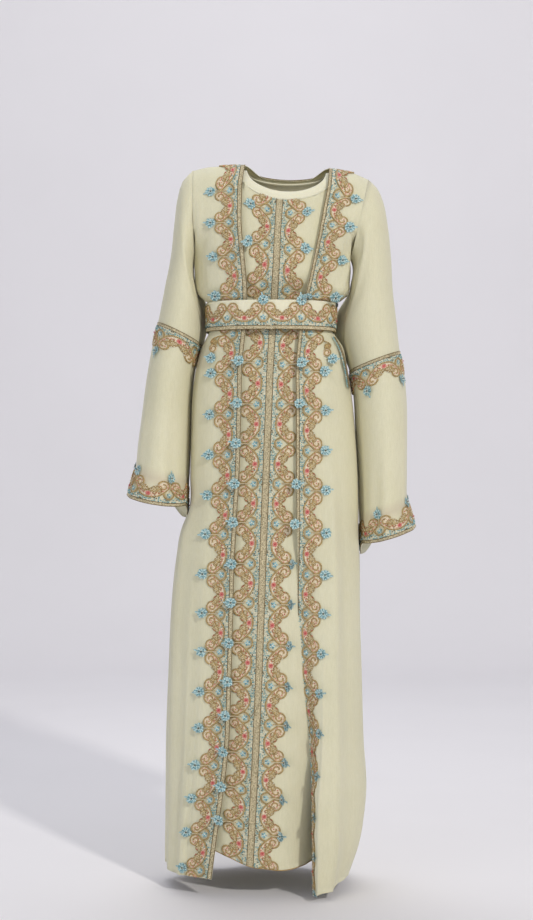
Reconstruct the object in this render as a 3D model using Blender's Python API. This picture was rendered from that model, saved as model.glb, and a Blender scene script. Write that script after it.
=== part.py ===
"""Kaftan of two layers and a belt, in its worn form: a long inner dress and an open robe with wide sleeves.

Metres, +Z up, the front faces -Y. The origin is the middle of the neck at the height of the shoulders.
Left and right are those of a viewer in front, so left is the -X side.
"""

import math
from collections import namedtuple

import bpy
import numpy as np

# Cloth and seams.
WALL = 0.0015
BAND_WALL = 0.0020
SEAM = 0.0003
ROUNDNESS = 2.3

# Trims: lace of one repeat, lying just over its cloth.
LACE_WIDTH = 0.052
LACE_GAP = 0.0008
LACE_WALL = 0.0022
VOLUTE_REACH = 0.050
FLOWER_REACH = 0.068
NECK_SHORT = 0.012
CLOSE = 0.0015
SHARPEST = 0.5
FLOWER_WALL = 0.0050
FLOWER_SPREAD = 0.0015
CUFF_FLOWER_SPREAD = 0.0045
BRAID_WALL = 0.0018
CENTRE_BRAID = 0.014
BACK_NECK_BRAID = 0.012
BACK_BRAID_GAP = 0.0014
BACK_BRAID_TILT = (0.0, 0.75, 0.65)
BACK_BRAID_SPREAD = 0.3

# Belt, and how far out its inner face lies from the robe.
BELT_LOW = -0.334
BELT_TOP = -0.275
BELT_CLEAR = 0.0036
BELT_SIDES = 30

# Each panel is cut at the armpits, at the waist, where the belt hides the seam, and above the knees.
WAIST = -0.304
KNEES = -0.900

# Where a trim has no raised flowers: behind the belt, at the arm, where the hem turns and toward the body.
FLAT_ABOVE = -0.240
FLAT_BELOW = -0.362
FLAT_ARM = -0.130
FLAT_TURN = -1.13
FLAT_SIDE = -0.35

# Neck band of the inner dress, and the back neck of the robe.
NECK_CENTRE = 0.011
NECK_HALF = 0.081
NECK_DROP = 0.051
NECK_BACK_DROP = 0.018
NECK_BAND = 0.0145
NECK_STEPS = 14
NECK_PAST = 1.001
ROBE_NECK_HALF = 0.0855
ROBE_NECK_DROP = 0.020

# Folds of the robe skirt.
FOLD_COUNT = 9
FOLD_HEM = 0.007
FOLD_CHEST = 0.0015
FOLD_FROM = math.radians(56)
FOLD_FULL = math.radians(74)
FOLD_END = -0.200

# How the rows run from the armpit up to the shoulder seam.
BODY_CENTRE = -0.001
FRONT_COLUMNS = 6
SLEEVE_SIDES = 20
SHOULDER_ROWS = 6
TOP_LEVEL = 0.9999
SHOULDER_POWER_FRONT = 1.7
SHOULDER_POWER_BACK = 2.4

# The right front of the robe: its hem turns to the side, hangs lower and swings forward.
TURN_ANGLE = math.radians(78)
TURN_FROM = -1.08
TURN_FULL = -1.34
RIGHT_HEM_DROP = 0.025
HEM_DROP_FROM = -1.16
RIGHT_FORWARD = 0.045
FORWARD_FROM = -0.95

# Each row of a layer, below the armpit: its sides, and how deep it is in front and behind.
Section = namedtuple("Section", "z left right front back")
ROBE_SECTIONS = [
    Section(-1.424, -0.235, 0.139, 0.140, 0.150),
    Section(-1.360, -0.234, 0.161, 0.139, 0.149),
    Section(-1.280, -0.233, 0.173, 0.137, 0.147),
    Section(-1.160, -0.233, 0.169, 0.134, 0.142),
    Section(-1.030, -0.229, 0.166, 0.130, 0.137),
    Section(-0.900, -0.224, 0.162, 0.126, 0.132),
    Section(-0.800, -0.214, 0.160, 0.124, 0.130),
    Section(-0.740, -0.200, 0.158, 0.122, 0.128),
    Section(-0.700, -0.186, 0.157, 0.121, 0.127),
    Section(-0.620, -0.182, 0.156, 0.120, 0.126),
    Section(-0.540, -0.180, 0.151, 0.118, 0.124),
    Section(-0.470, -0.178, 0.145, 0.115, 0.120),
    Section(-0.400, -0.172, 0.134, 0.110, 0.112),
    Section(-0.362, -0.161, 0.124, 0.105, 0.103),
    Section(-0.334, -0.147, 0.106, 0.098, 0.090),
    Section(-0.304, -0.147, 0.106, 0.098, 0.090),
    Section(-0.262, -0.147, 0.106, 0.098, 0.090),
    Section(-0.235, -0.168, 0.132, 0.108, 0.101),
    Section(-0.210, -0.173, 0.139, 0.115, 0.104),
    Section(-0.183, -0.176, 0.142, 0.118, 0.105),
]
INNER_SECTIONS = [
    Section(-1.405, -0.170, 0.078, 0.129, 0.130),
    Section(-1.280, -0.182, 0.100, 0.126, 0.129),
    Section(-1.100, -0.195, 0.135, 0.122, 0.127),
    Section(-0.900, -0.208, 0.148, 0.117, 0.122),
    Section(-0.740, -0.186, 0.145, 0.113, 0.119),
    Section(-0.620, -0.170, 0.143, 0.111, 0.116),
    Section(-0.500, -0.166, 0.135, 0.105, 0.111),
    Section(-0.400, -0.157, 0.119, 0.098, 0.102),
    Section(-0.362, -0.146, 0.106, 0.092, 0.092),
    Section(-0.334, -0.136, 0.089, 0.085, 0.080),
    Section(-0.304, -0.136, 0.089, 0.085, 0.080),
    Section(-0.262, -0.136, 0.089, 0.085, 0.080),
    Section(-0.225, -0.156, 0.121, 0.104, 0.093),
    Section(-0.190, -0.162, 0.128, 0.109, 0.096),
]

Armhole = namedtuple("Armhole", "top_x top_z low_x low_z depth")
ROBE_HOLES = {
    -1: Armhole(-0.180, -0.002, -0.176, -0.183, 0.072),
    1: Armhole(0.178, -0.020, 0.142, -0.183, 0.072),
}
INNER_HOLES = {
    -1: Armhole(-0.160, -0.009, -0.162, -0.190, 0.058),
    1: Armhole(0.160, -0.023, 0.128, -0.190, 0.058),
}

# The shoulder seam, from side to side.
Shoulder = namedtuple("Shoulder", "x z")
ROBE_SHOULDERS = [
    Shoulder(-0.180, -0.002),
    Shoulder(-0.148, 0.006),
    Shoulder(-0.073, 0.010),
    Shoulder(0.098, 0.003),
    Shoulder(0.150, -0.007),
    Shoulder(0.178, -0.020),
]
INNER_SHOULDERS = [
    Shoulder(-0.160, -0.009),
    Shoulder(-0.0845, -0.001),
    Shoulder(0.1065, -0.007),
    Shoulder(0.160, -0.023),
]

# The front edges of the robe and the middle of the inner dress, by height.
Edge = namedtuple("Edge", "z x")
ROBE_EDGE_LEFT = [
    Edge(-1.420, -0.139),
    Edge(-1.300, -0.121),
    Edge(-1.200, -0.109),
    Edge(-1.000, -0.101),
    Edge(-0.800, -0.099),
    Edge(-0.600, -0.090),
    Edge(-0.400, -0.084),
    Edge(-0.300, -0.074),
    Edge(-0.240, -0.075),
    Edge(-0.120, -0.083),
    Edge(-0.040, -0.080),
    Edge(0.010, -0.073),
]
ROBE_EDGE_RIGHT = [
    Edge(-1.420, 0.061),
    Edge(-1.200, 0.056),
    Edge(-1.000, 0.039),
    Edge(-0.900, 0.033),
    Edge(-0.600, 0.029),
    Edge(-0.400, 0.029),
    Edge(-0.300, 0.039),
    Edge(-0.240, 0.054),
    Edge(-0.120, 0.079),
    Edge(-0.040, 0.094),
    Edge(0.003, 0.098),
]
CENTRE_LINE = [
    Edge(-1.410, -0.063),
    Edge(-1.200, -0.057),
    Edge(-0.800, -0.040),
    Edge(-0.400, -0.022),
    Edge(-0.180, -0.009),
    Edge(-0.060, -0.003),
]
# How far the hem of the inner dress drops below its lowest section.
Drop = namedtuple("Drop", "drop x")
INNER_HEM = [
    Drop(-0.006, 0.060),
    Drop(0.003, 0.010),
    Drop(-0.002, -0.044),
    Drop(-0.017, -0.096),
    Drop(-0.033, -0.129),
]
HEM_ROWS = 3

# Columns of a panel: the share of the way from the middle to the side below, and the x at the top.
FRONT_NECK_SHARES = (-0.92, -0.754, -0.48, -0.22, -0.073, 0.20, 0.46, 0.73, 0.92)
BACK_NECK_SHARES = (-0.86, -0.5, 0.0, 0.5, 0.86)
INNER_LEFT_SHARES = (-1.0, -0.84, -0.68, -0.56)
INNER_RIGHT_SHARES = (0.56, 0.66, 0.78, 0.89, 1.0)
INNER_BACK_SHARES = (-1.0, -0.8, -0.6, -0.45, -0.25, 0.0, 0.25, 0.45, 0.6, 0.8, 1.0)
INNER_TOP_LEFT = -0.122
INNER_TOP_RIGHT = 0.134
Column = namedtuple("Column", "share top_x")
ROBE_BACK_COLUMNS = [
    Column(-1.00, -0.1800),
    Column(-0.84, -0.1550),
    Column(-0.68, -0.1280),
    Column(-0.52, -0.1010),
    Column(-0.38, -0.0745),
    Column(-0.20, -0.0403),
    Column(0.00, 0.0110),
    Column(0.20, 0.0623),
    Column(0.38, 0.0965),
    Column(0.52, 0.1180),
    Column(0.68, 0.1380),
    Column(0.84, 0.1580),
    Column(1.00, 0.1780),
]

# The columns of the inner front that carry the two centre laces, outer and inner.
LACE_CELLS = ((4, 6), (9, 7))

# The height that the walls at the neck point away from.
NECK_HEART = -0.130

# Each ring of a sleeve, from the armhole to the cuff.
Ring = namedtuple("Ring", "outer_x outer_z inner_x inner_z depth fall")
SLEEVE_LEFT = [
    Ring(-0.180, -0.002, -0.1760, -0.183, 0.072, 0.0),
    Ring(-0.201, -0.024, -0.1785, -0.197, 0.074, 0.0),
    Ring(-0.211, -0.056, -0.1785, -0.212, 0.074, 0.0),
    Ring(-0.218, -0.108, -0.1780, -0.231, 0.073, 0.0),
    Ring(-0.225, -0.174, -0.1765, -0.256, 0.072, 0.0),
    Ring(-0.238, -0.242, -0.1735, -0.296, 0.072, 0.0),
    Ring(-0.252, -0.314, -0.1710, -0.357, 0.074, 0.0),
    Ring(-0.264, -0.364, -0.1780, -0.408, 0.079, 0.0),
    Ring(-0.275, -0.420, -0.1840, -0.460, 0.084, 0.03),
    Ring(-0.287, -0.500, -0.1880, -0.530, 0.091, 0.08),
    Ring(-0.296, -0.560, -0.1900, -0.588, 0.097, 0.13),
    Ring(-0.301, -0.613, -0.1910, -0.638, 0.101, 0.17),
    Ring(-0.316, -0.663, -0.1930, -0.690, 0.106, 0.18),
]
SLEEVE_RIGHT = [
    Ring(0.178, -0.020, 0.1420, -0.183, 0.072, 0.0),
    Ring(0.197, -0.039, 0.1465, -0.197, 0.074, 0.0),
    Ring(0.209, -0.066, 0.1470, -0.212, 0.074, 0.0),
    Ring(0.218, -0.112, 0.1475, -0.234, 0.073, 0.0),
    Ring(0.225, -0.178, 0.1475, -0.268, 0.072, 0.0),
    Ring(0.229, -0.250, 0.1470, -0.318, 0.072, 0.0),
    Ring(0.236, -0.310, 0.1465, -0.362, 0.074, 0.0),
    Ring(0.243, -0.373, 0.1480, -0.412, 0.076, 0.0),
    Ring(0.2525, -0.4225, 0.1530, -0.462, 0.081, 0.0),
    Ring(0.257, -0.470, 0.1570, -0.510, 0.086, 0.03),
    Ring(0.2595, -0.550, 0.1620, -0.590, 0.093, 0.08),
    Ring(0.2605, -0.620, 0.1645, -0.655, 0.098, 0.12),
    Ring(0.265, -0.678, 0.1660, -0.716, 0.101, 0.15),
    Ring(0.276, -0.729, 0.1670, -0.768, 0.106, 0.16),
]
ELBOW_RING = {"left": 6, "right": 7}

# Outline of one lace repeat: share of the pitch from the flower, and how far the edge reaches.
Scallop = namedtuple("Scallop", "share reach flower")
SCALLOPS = [
    Scallop(0.09, 0.068, True),
    Scallop(0.13, 0.050, False),
    Scallop(0.27, 0.049, False),
    Scallop(0.35, 0.035, False),
    Scallop(0.65, 0.035, False),
    Scallop(0.73, 0.049, False),
    Scallop(0.87, 0.050, False),
    Scallop(0.91, 0.068, True),
]

# Where the first flower of a trim is, from the hem or from the outer side of a sleeve, and their distance.
Place = namedtuple("Place", "first pitch repeats")
PLACES = {
    "edge_lace_left": Place(0.015, 0.0762, None),
    "edge_lace_right": Place(0.014, 0.0780, None),
    "centre_lace_left": Place(0.000, 0.0762, None),
    "centre_lace_right": Place(0.002, 0.0771, None),
    "elbow_lace_left": Place(0.019, None, 4),
    "elbow_lace_right": Place(0.029, None, 5),
    "cuff_lace_left": Place(0.072, None, 6),
    "cuff_lace_right": Place(0.064, None, 6),
    "belt_lace": Place(-0.016, None, 10),
}

Paint = namedtuple("Paint", "red green blue roughness metallic")
CREAM = Paint(0.76, 0.71, 0.55, 0.75, 0.0)
PALE_CREAM = Paint(0.83, 0.80, 0.66, 0.70, 0.0)
GOLD = Paint(0.38, 0.27, 0.11, 0.45, 0.6)
LACE = Paint(0.50, 0.42, 0.30, 0.55, 0.2)


def unit(vector):
    return vector / max(np.linalg.norm(vector), 1e-12)


def table_value(rows, at, key, value):
    pairs = sorted((getattr(row, key), getattr(row, value)) for row in rows)
    return float(np.interp(at, [pair[0] for pair in pairs], [pair[1] for pair in pairs]))


def smooth_step(low, high, value):
    share = min(max((value - low) / (high - low), 0.0), 1.0)
    return share * share * (3.0 - 2.0 * share)


class Layer:
    """One layer of the garment.

    A level is metres below the armpit if negative, or a share of the rise to the shoulder.
    """

    def __init__(self, sections, holes, shoulders, folded):
        self.sections = sections
        self.holes = holes
        self.shoulders = shoulders
        self.folded = folded
        self.armpit = sections[-1].z

    def levels(self):
        below = [row.z - self.armpit for row in self.sections]
        above = [1.0 - (1.0 - step / SHOULDER_ROWS) ** 2 for step in range(1, SHOULDER_ROWS + 1)]
        return below + above

    def frame(self, level, sign, back):
        """Centre, half width, depth and widest angle of a row, on one side."""
        if level <= 0.0:
            z = self.armpit + level
            left, right, front, rear = (
                table_value(self.sections, z, "z", field) for field in ("left", "right", "front", "back")
            )
            return (left + right) / 2, (right - left) / 2, rear if back else front, math.pi / 2
        level = min(level, TOP_LEVEL)
        last = self.sections[-1]
        hole = self.holes[sign]
        other = self.holes[-sign]
        low_centre = (hole.low_x + other.low_x) / 2
        centre = low_centre + level * ((hole.top_x + other.top_x) / 2 - low_centre)
        reach = abs(hole.low_x + level * (hole.top_x - hole.low_x) - centre)
        power = SHOULDER_POWER_BACK if back else SHOULDER_POWER_FRONT
        depth = (last.back if back else last.front) * math.sqrt(1.0 - level**power)
        share = hole.depth * math.sqrt(1.0 - (2.0 * level - 1.0) ** 2) / depth
        half = reach / (1.0 - share**ROUNDNESS) ** (1.0 / ROUNDNESS)
        return centre, half, depth, math.asin((reach / half) ** (ROUNDNESS / 2))

    def widest(self, level, sign, back):
        return self.frame(level, sign, back)[3]

    def angle_at(self, level, x, back):
        side = 1 if x > BODY_CENTRE else -1
        sign = 1 if x >= self.frame(level, side, back)[0] else -1
        centre, half, _, widest = self.frame(level, sign, back)
        share = min(abs(x - centre) / half, 1.0)
        return sign * min(math.asin(share ** (ROUNDNESS / 2)), widest)

    def point(self, level, angle, back):
        sign = -1 if angle < 0 else 1
        centre, half, depth, _ = self.frame(level, sign, back)
        x = centre + sign * half * abs(math.sin(angle)) ** (2 / ROUNDNESS)
        y = depth * max(math.cos(angle), 0.0) ** (2 / ROUNDNESS)
        if level >= 1.0:
            y = 0.0
        z = self.armpit + level
        if level > 0.0:
            z = self.armpit + level * (self.shoulder_at(level, x, sign) - self.armpit)
        spot = np.array([x, y if back else -y, z])
        return spot + self.fold(spot, centre, angle, level, back)

    def shoulder_at(self, level, x, sign):
        hole = self.holes[sign]
        centre = self.frame(level, sign, False)[0]
        top_centre = (self.holes[-1].top_x + self.holes[1].top_x) / 2
        reach = abs(hole.low_x + min(level, 1.0) * (hole.top_x - hole.low_x) - centre)
        matched = top_centre + (x - centre) * abs(hole.top_x - top_centre) / reach
        return table_value(self.shoulders, matched, "x", "z")

    def fold(self, spot, centre, angle, level, back):
        """Outward shift of the soft folds, none at the front where the lace lies."""
        if not self.folded or level > 0.0:
            return np.zeros(3)
        around = math.pi - abs(angle) if back else abs(angle)
        window = smooth_step(FOLD_FROM, FOLD_FULL, around)
        z = self.armpit + level
        low = FOLD_HEM * (1.0 - smooth_step(self.sections[0].z, FLAT_BELOW, z))
        high = FOLD_CHEST * smooth_step(FLAT_ABOVE, self.armpit, z)
        high *= 1.0 - smooth_step(FOLD_END, self.armpit, z)
        depth = (low if z < BELT_LOW else high) * window * (1.0 - math.cos(FOLD_COUNT * around)) / 2
        outward = unit(np.array([spot[0] - centre, spot[1], 0.0]))
        return outward * depth


ROBE = Layer(ROBE_SECTIONS, ROBE_HOLES, ROBE_SHOULDERS, True)
INNER = Layer(INNER_SECTIONS, INNER_HOLES, INNER_SHOULDERS, False)


def vertex_normals(grid, closed):
    """Normals of a grid of points, as the cross product of its two directions."""
    along = np.gradient(grid, axis=0)
    if closed:
        across = (np.roll(grid, -1, axis=1) - np.roll(grid, 1, axis=1)) / 2
    else:
        across = np.gradient(grid, axis=1)
    normals = np.cross(across, along)
    return normals / np.maximum(np.linalg.norm(normals, axis=2, keepdims=True), 1e-12)


def flatten(normals, away):
    """Takes the part along one direction out of each normal, so that a seam's wall stays in its plane."""
    kept = normals - (normals @ away)[..., None] * away
    return kept / np.maximum(np.linalg.norm(kept, axis=-1, keepdims=True), 1e-12)


def add_object(name, points, faces, paint):
    mesh = bpy.data.meshes.new(name)
    mesh.from_pydata([tuple(point) for point in points], [], faces)
    mesh.validate()
    mesh.update()
    if volume_of(points, faces) < 0:
        mesh.flip_normals()
    mesh.polygons.foreach_set("use_smooth", [True] * len(mesh.polygons))
    obj = bpy.data.objects.new(name, mesh)
    bpy.context.collection.objects.link(obj)
    material = bpy.data.materials.new(name)
    material.use_nodes = True
    shader = material.node_tree.nodes["Principled BSDF"]
    shader.inputs["Base Color"].default_value = (paint.red, paint.green, paint.blue, 1.0)
    shader.inputs["Roughness"].default_value = paint.roughness
    shader.inputs["Metallic"].default_value = paint.metallic
    mesh.materials.append(material)


def volume_of(points, faces):
    total = 0.0
    for face in faces:
        for step in range(1, len(face) - 1):
            total += np.dot(points[face[0]], np.cross(points[face[step]], points[face[step + 1]]))
    return total


def thick_sheet(name, grid, normals, wall, closed, paint):
    """A closed solid: the grid, a copy moved in by the wall, and the faces that join their rims."""
    rows, columns = grid.shape[:2]
    points = np.concatenate([grid.reshape(-1, 3), (grid - wall * normals).reshape(-1, 3)])
    shift = rows * columns
    faces = []
    cells = columns if closed else columns - 1
    for row in range(rows - 1):
        for column in range(cells):
            after = (column + 1) % columns
            near, far = row * columns, (row + 1) * columns
            corners = (near + column, near + after, far + after, far + column)
            for a, b, c in hollow_split(points, normals.reshape(-1, 3), corners):
                faces.append((a, b, c))
                faces.append((c + shift, b + shift, a + shift))
    for column in range(cells):
        after = (column + 1) % columns
        last = (rows - 1) * columns
        faces.append((after, column, column + shift, after + shift))
        faces.append((last + column, last + after, last + after + shift, last + column + shift))
    if not closed:
        for row in range(rows - 1):
            a, d = row * columns, (row + 1) * columns
            b, c = a + columns - 1, d + columns - 1
            faces.append((a, d, d + shift, a + shift))
            faces.append((c, b, b + shift, c + shift))
    add_object(name, points, faces, paint)


def part_at_row(grid, normals, row):
    """The parts of a panel before and after a row, with half of the seam taken from each."""
    ring = grid[row]
    along = unit(np.cross(ring[1] - ring[0], ring[len(ring) // 2] - ring[0]))
    if np.dot(along, grid[row + 1].mean(axis=0) - ring.mean(axis=0)) < 0:
        along = -along
    level = normals.copy()
    level[row] = flatten(normals[row], along)
    before, after = grid[: row + 1].copy(), grid[row:].copy()
    before[-1] -= SEAM / 2 * along
    after[0] += SEAM / 2 * along
    return (before, level[: row + 1]), (after, level[row:])


def part_at_column(grid, normals, column):
    """The left and the right part of a back, with half of the seam taken from each."""
    side = np.array([1.0, 0.0, 0.0])
    level = normals.copy()
    level[:, column] = flatten(normals[:, column], side)
    left, right = grid[:, : column + 1].copy(), grid[:, column:].copy()
    left[:, -1] -= SEAM / 2 * side
    right[:, 0] += SEAM / 2 * side
    return (left, level[:, : column + 1]), (right, level[:, column:])


def body_panel(layer, prefix, suffix, grid, normals):
    """A front or a half back of one layer as four solids, from the hem up."""
    heights = [section.z for section in layer.sections]
    knees, waist, armpit = heights.index(KNEES), heights.index(WAIST), len(heights) - 1
    hem, rest = part_at_row(grid, normals, knees)
    skirt, rest = part_at_row(*rest, waist - knees)
    chest, shoulder = part_at_row(*rest, armpit - waist)
    lengths = {"hem": hem, "skirt": skirt, "chest": chest, "shoulder": shoulder}
    for length, (points, outward) in lengths.items():
        thick_sheet(f"{prefix}_{length}_{suffix}", points, outward, WALL, False, CREAM)


def body_back(layer, prefix, grid, normals):
    halves = part_at_column(grid, normals, grid.shape[1] // 2)
    for side, (points, outward) in zip(("left", "right"), halves):
        body_panel(layer, prefix, f"back_{side}", points, outward)


def hollow_split(points, normals, corners):
    """Two triangles of a cell, split so that a twisted cell sinks and never rises into the trim over it."""
    a, b, c, d = corners
    rise = (points[a] + points[c] - points[b] - points[d]) @ normals[a]
    if rise < 0:
        return (a, b, c), (a, c, d)
    return (a, b, d), (b, c, d)


def robe_front(side):
    """Outer points of one front of the robe: rows from hem to shoulder, columns from front edge to side."""
    sign = -1 if side == "left" else 1
    edge = ROBE_EDGE_LEFT if side == "left" else ROBE_EDGE_RIGHT
    shares = [step / FRONT_COLUMNS for step in range(1, FRONT_COLUMNS + 1)]
    rows = []
    for level in ROBE.levels():
        z = ROBE.armpit + level if level <= 0 else ROBE.armpit + level * (edge[-1].z - ROBE.armpit)
        edge_x = table_value(edge, z, "z", "x")
        turn = TURN_ANGLE * (1.0 - smooth_step(TURN_FULL, TURN_FROM, z)) if side == "right" else 0.0
        lace_x = edge_x + sign * LACE_WIDTH * math.cos(turn)
        lace_angle = ROBE.angle_at(level, lace_x, False)
        widest = sign * ROBE.widest(level, sign, False)
        lace = ROBE.point(level, lace_angle, False)
        if turn > 0.0:
            first = lace + LACE_WIDTH * np.array([-math.cos(turn), math.sin(turn), 0.0])
        else:
            first = ROBE.point(level, ROBE.angle_at(level, edge_x, False), False)
        row = [first, lace]
        for share in shares:
            row.append(ROBE.point(level, lace_angle + share * (widest - lace_angle), False))
        if side == "right":
            hem = ROBE.sections[0].z
            drop = RIGHT_HEM_DROP * (1.0 - smooth_step(hem, HEM_DROP_FROM, z))
            forward = RIGHT_FORWARD * (1.0 - smooth_step(hem, FORWARD_FROM, z))
            for column, spot in enumerate(row):
                share = 1.0 - max(column - 1, 0) / FRONT_COLUMNS
                spot -= share * np.array([0.0, forward, drop])
        rows.append(row)
    grid = np.array(rows)
    return grid if side == "right" else grid[:, ::-1]


def hole_normal(layer, sign):
    hole = layer.holes[sign]
    slope = np.array([hole.top_x - hole.low_x, 0.0, hole.top_z - hole.low_z])
    return unit(np.cross(slope, np.array([0.0, 1.0, 0.0])))


def seam_normals(grid, layer, left_hole, right_hole, way):
    """Outward normals whose walls stay in the plane of the side seams, the shoulder seams and the armholes."""
    normals = vertex_normals(grid, False)
    if normals[0, grid.shape[1] // 2][1] * way < 0:
        normals = -normals
    depth = np.array([0.0, 1.0, 0.0])
    armpit = len(layer.sections) - 1
    normals[-1] = flatten(normals[-1], depth)
    for sign, column, wanted in ((-1, 0, left_hole), (1, -1, right_hole)):
        if not wanted:
            continue
        normals[:armpit, column] = flatten(normals[:armpit, column], depth)
        normals[armpit, column] = np.array([sign, 0.0, 0.0])
        normals[armpit + 1 :, column] = flatten(normals[armpit + 1 :, column], hole_normal(layer, sign))
        up = unit(np.cross(hole_normal(layer, sign), depth))
        normals[-1, column] = up if up[2] > 0 else -up
    return normals


def neck_spot(layer, share, half, drop):
    """x and z of a neck curve, from -1 at one shoulder to 1 at the other."""
    x = NECK_CENTRE + share * half
    side = table_value(layer.shoulders, x, "x", "z")
    return x, side - drop * math.sqrt(max(1.0 - share * share, 0.0))


def neck_point(layer, share, half, drop, back):
    x, z = neck_spot(layer, share, half, drop)
    top = table_value(layer.shoulders, x, "x", "z")
    level = (z - layer.armpit) / (top - layer.armpit)
    spot = layer.point(level, layer.angle_at(level, x, back), back)
    return np.array([x, spot[1], z]), level


def panel_with_neck(layer, back, columns_low, columns_top, half, drop):
    """A whole front or back: each column runs from the hem to the shoulder or to the neck curve.

    columns_low gives each column's share of the widest angle, or a function of z for its x.
    columns_top gives its x at the top.
    """
    below = [level for level in layer.levels() if level <= 0.0]
    above = [level for level in layer.levels() if level > 0.0]
    grid = np.zeros((len(below) + len(above), len(columns_low), 3))
    for column, (low, top_x) in enumerate(zip(columns_low, columns_top)):
        share = (top_x - NECK_CENTRE) / half
        end_level = 1.0
        if abs(share) < 1.0:
            end_level = neck_point(layer, share, half, drop, back)[1]
        end_angle = layer.angle_at(end_level, top_x, back)
        sign = -1 if end_angle < 0 else 1
        if abs(top_x - layer.holes[sign].top_x) < 1e-6:
            end_angle = sign * layer.widest(end_level, sign, back)
        for row, level in enumerate(below):
            grid[row, column] = layer.point(level, low_angle(layer, level, low, back), back)
        start_angle = low_angle(layer, 0.0, low, back)
        start_share = start_angle / layer.widest(0.0, sign, back)
        end_share = end_angle / layer.widest(end_level, sign, back)
        for row, rise in enumerate(above):
            level = rise * end_level
            blend = start_share + rise * (end_share - start_share)
            angle = blend * layer.widest(level, -1 if blend < 0 else 1, back)
            grid[len(below) + row, column] = layer.point(level, angle, back)
    return grid


def low_angle(layer, level, low, back):
    if callable(low):
        return layer.angle_at(level, low(layer.armpit + level), back)
    sign = -1 if low < 0 else 1
    return low * layer.widest(level, sign, back)


def neck_columns(shares):
    """The x of the panel columns that end on the neck curve, just outside the band."""
    half = NECK_HALF + NECK_BAND + SEAM
    return [NECK_CENTRE + share * half for share in (-NECK_PAST, *shares, NECK_PAST)]


def neck_normal(spot):
    """One direction for the walls of the band and of the panels, so that they stay apart."""
    return unit(spot - np.array([NECK_CENTRE, 0.0, NECK_HEART]))


def inner_front_grid():
    half = NECK_HALF + NECK_BAND + SEAM
    drop = NECK_DROP + NECK_BAND + SEAM
    edge = CENTRE_BRAID / 2
    right = [edge, edge + LACE_WIDTH / 2, edge + LACE_WIDTH]
    left = [-offset for offset in reversed(right)]
    middle = [centre_offset(offset) for offset in left + right]
    low = [*INNER_LEFT_SHARES, *middle, *INNER_RIGHT_SHARES]
    top = inner_top(FRONT_NECK_SHARES)
    grid = panel_with_neck(INNER, False, low, top, half, drop)
    for outer, inner in LACE_CELLS:
        between = (outer + inner) // 2
        grid[:-1, between] = (grid[:-1, outer] + grid[:-1, inner]) / 2
    for column in range(grid.shape[1]):
        drop = table_value(INNER_HEM, grid[0, column][0], "x", "drop")
        for row in range(HEM_ROWS):
            grid[row, column][2] -= drop * (1.0 - row / HEM_ROWS)
    return grid


def centre_offset(offset):
    return lambda z: table_value(CENTRE_LINE, z, "z", "x") + offset


def inner_top(shares):
    """The x at the top of each column of the inner dress, from armhole to armhole."""
    left, right = INNER_HOLES[-1].top_x, INNER_HOLES[1].top_x
    return [left, INNER_TOP_LEFT, *neck_columns(shares), INNER_TOP_RIGHT, right]


def ring_points(ring, sides):
    """A sleeve ring: an ellipse between the outer and the inner point, falling toward the back."""
    outer = np.array([ring.outer_x, 0.0, ring.outer_z])
    inner = np.array([ring.inner_x, 0.0, ring.inner_z])
    middle, reach = (outer + inner) / 2, (outer - inner) / 2
    points = []
    for step in range(sides):
        angle = 2 * math.pi * step / sides
        y = -ring.depth * math.sin(angle)
        points.append(middle + reach * math.cos(angle) + np.array([0.0, y, -ring.fall * y]))
    return points


def sleeve_grid(side):
    table = SLEEVE_LEFT if side == "left" else SLEEVE_RIGHT
    sign = -1 if side == "left" else 1
    grid = np.array([ring_points(ring, SLEEVE_SIDES) for ring in table])
    away = hole_normal(ROBE, sign)
    if away[0] * sign < 0:
        away = -away
    grid[0] += SEAM * away
    return grid


def sleeve_normals(grid, side):
    sign = -1 if side == "left" else 1
    normals = vertex_normals(grid, True)
    normals[0] = flatten(normals[0], hole_normal(ROBE, sign))
    return outward_normals(grid, normals)


def outward_normals(grid, normals):
    middles = grid.mean(axis=1, keepdims=True)
    if (normals * (grid - middles)).sum() < 0:
        return -normals
    return normals


def rail_normals(rails, closed, outward):
    """A normal at each pair of rail points: the mean of the cells that meet there, long enough for the gap."""
    count = len(rails[0])
    cells = []
    for index in range(count - 1):
        along = (rails[0][index + 1] - rails[0][index] + rails[1][index + 1] - rails[1][index]) / 2
        across = (rails[1][index] - rails[0][index] + rails[1][index + 1] - rails[0][index + 1]) / 2
        cells.append(unit(np.cross(across, along)))
    if np.dot(cells[0], outward) < 0:
        cells = [-cell for cell in cells]
    normals = []
    for index in range(count):
        before = cells[index - 1] if index or closed else cells[0]
        after = cells[index % len(cells)] if index < count - 1 or closed else cells[-1]
        mean = unit(before + after)
        normals.append(mean / max(np.dot(mean, after), SHARPEST))
    return np.array(normals)


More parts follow.
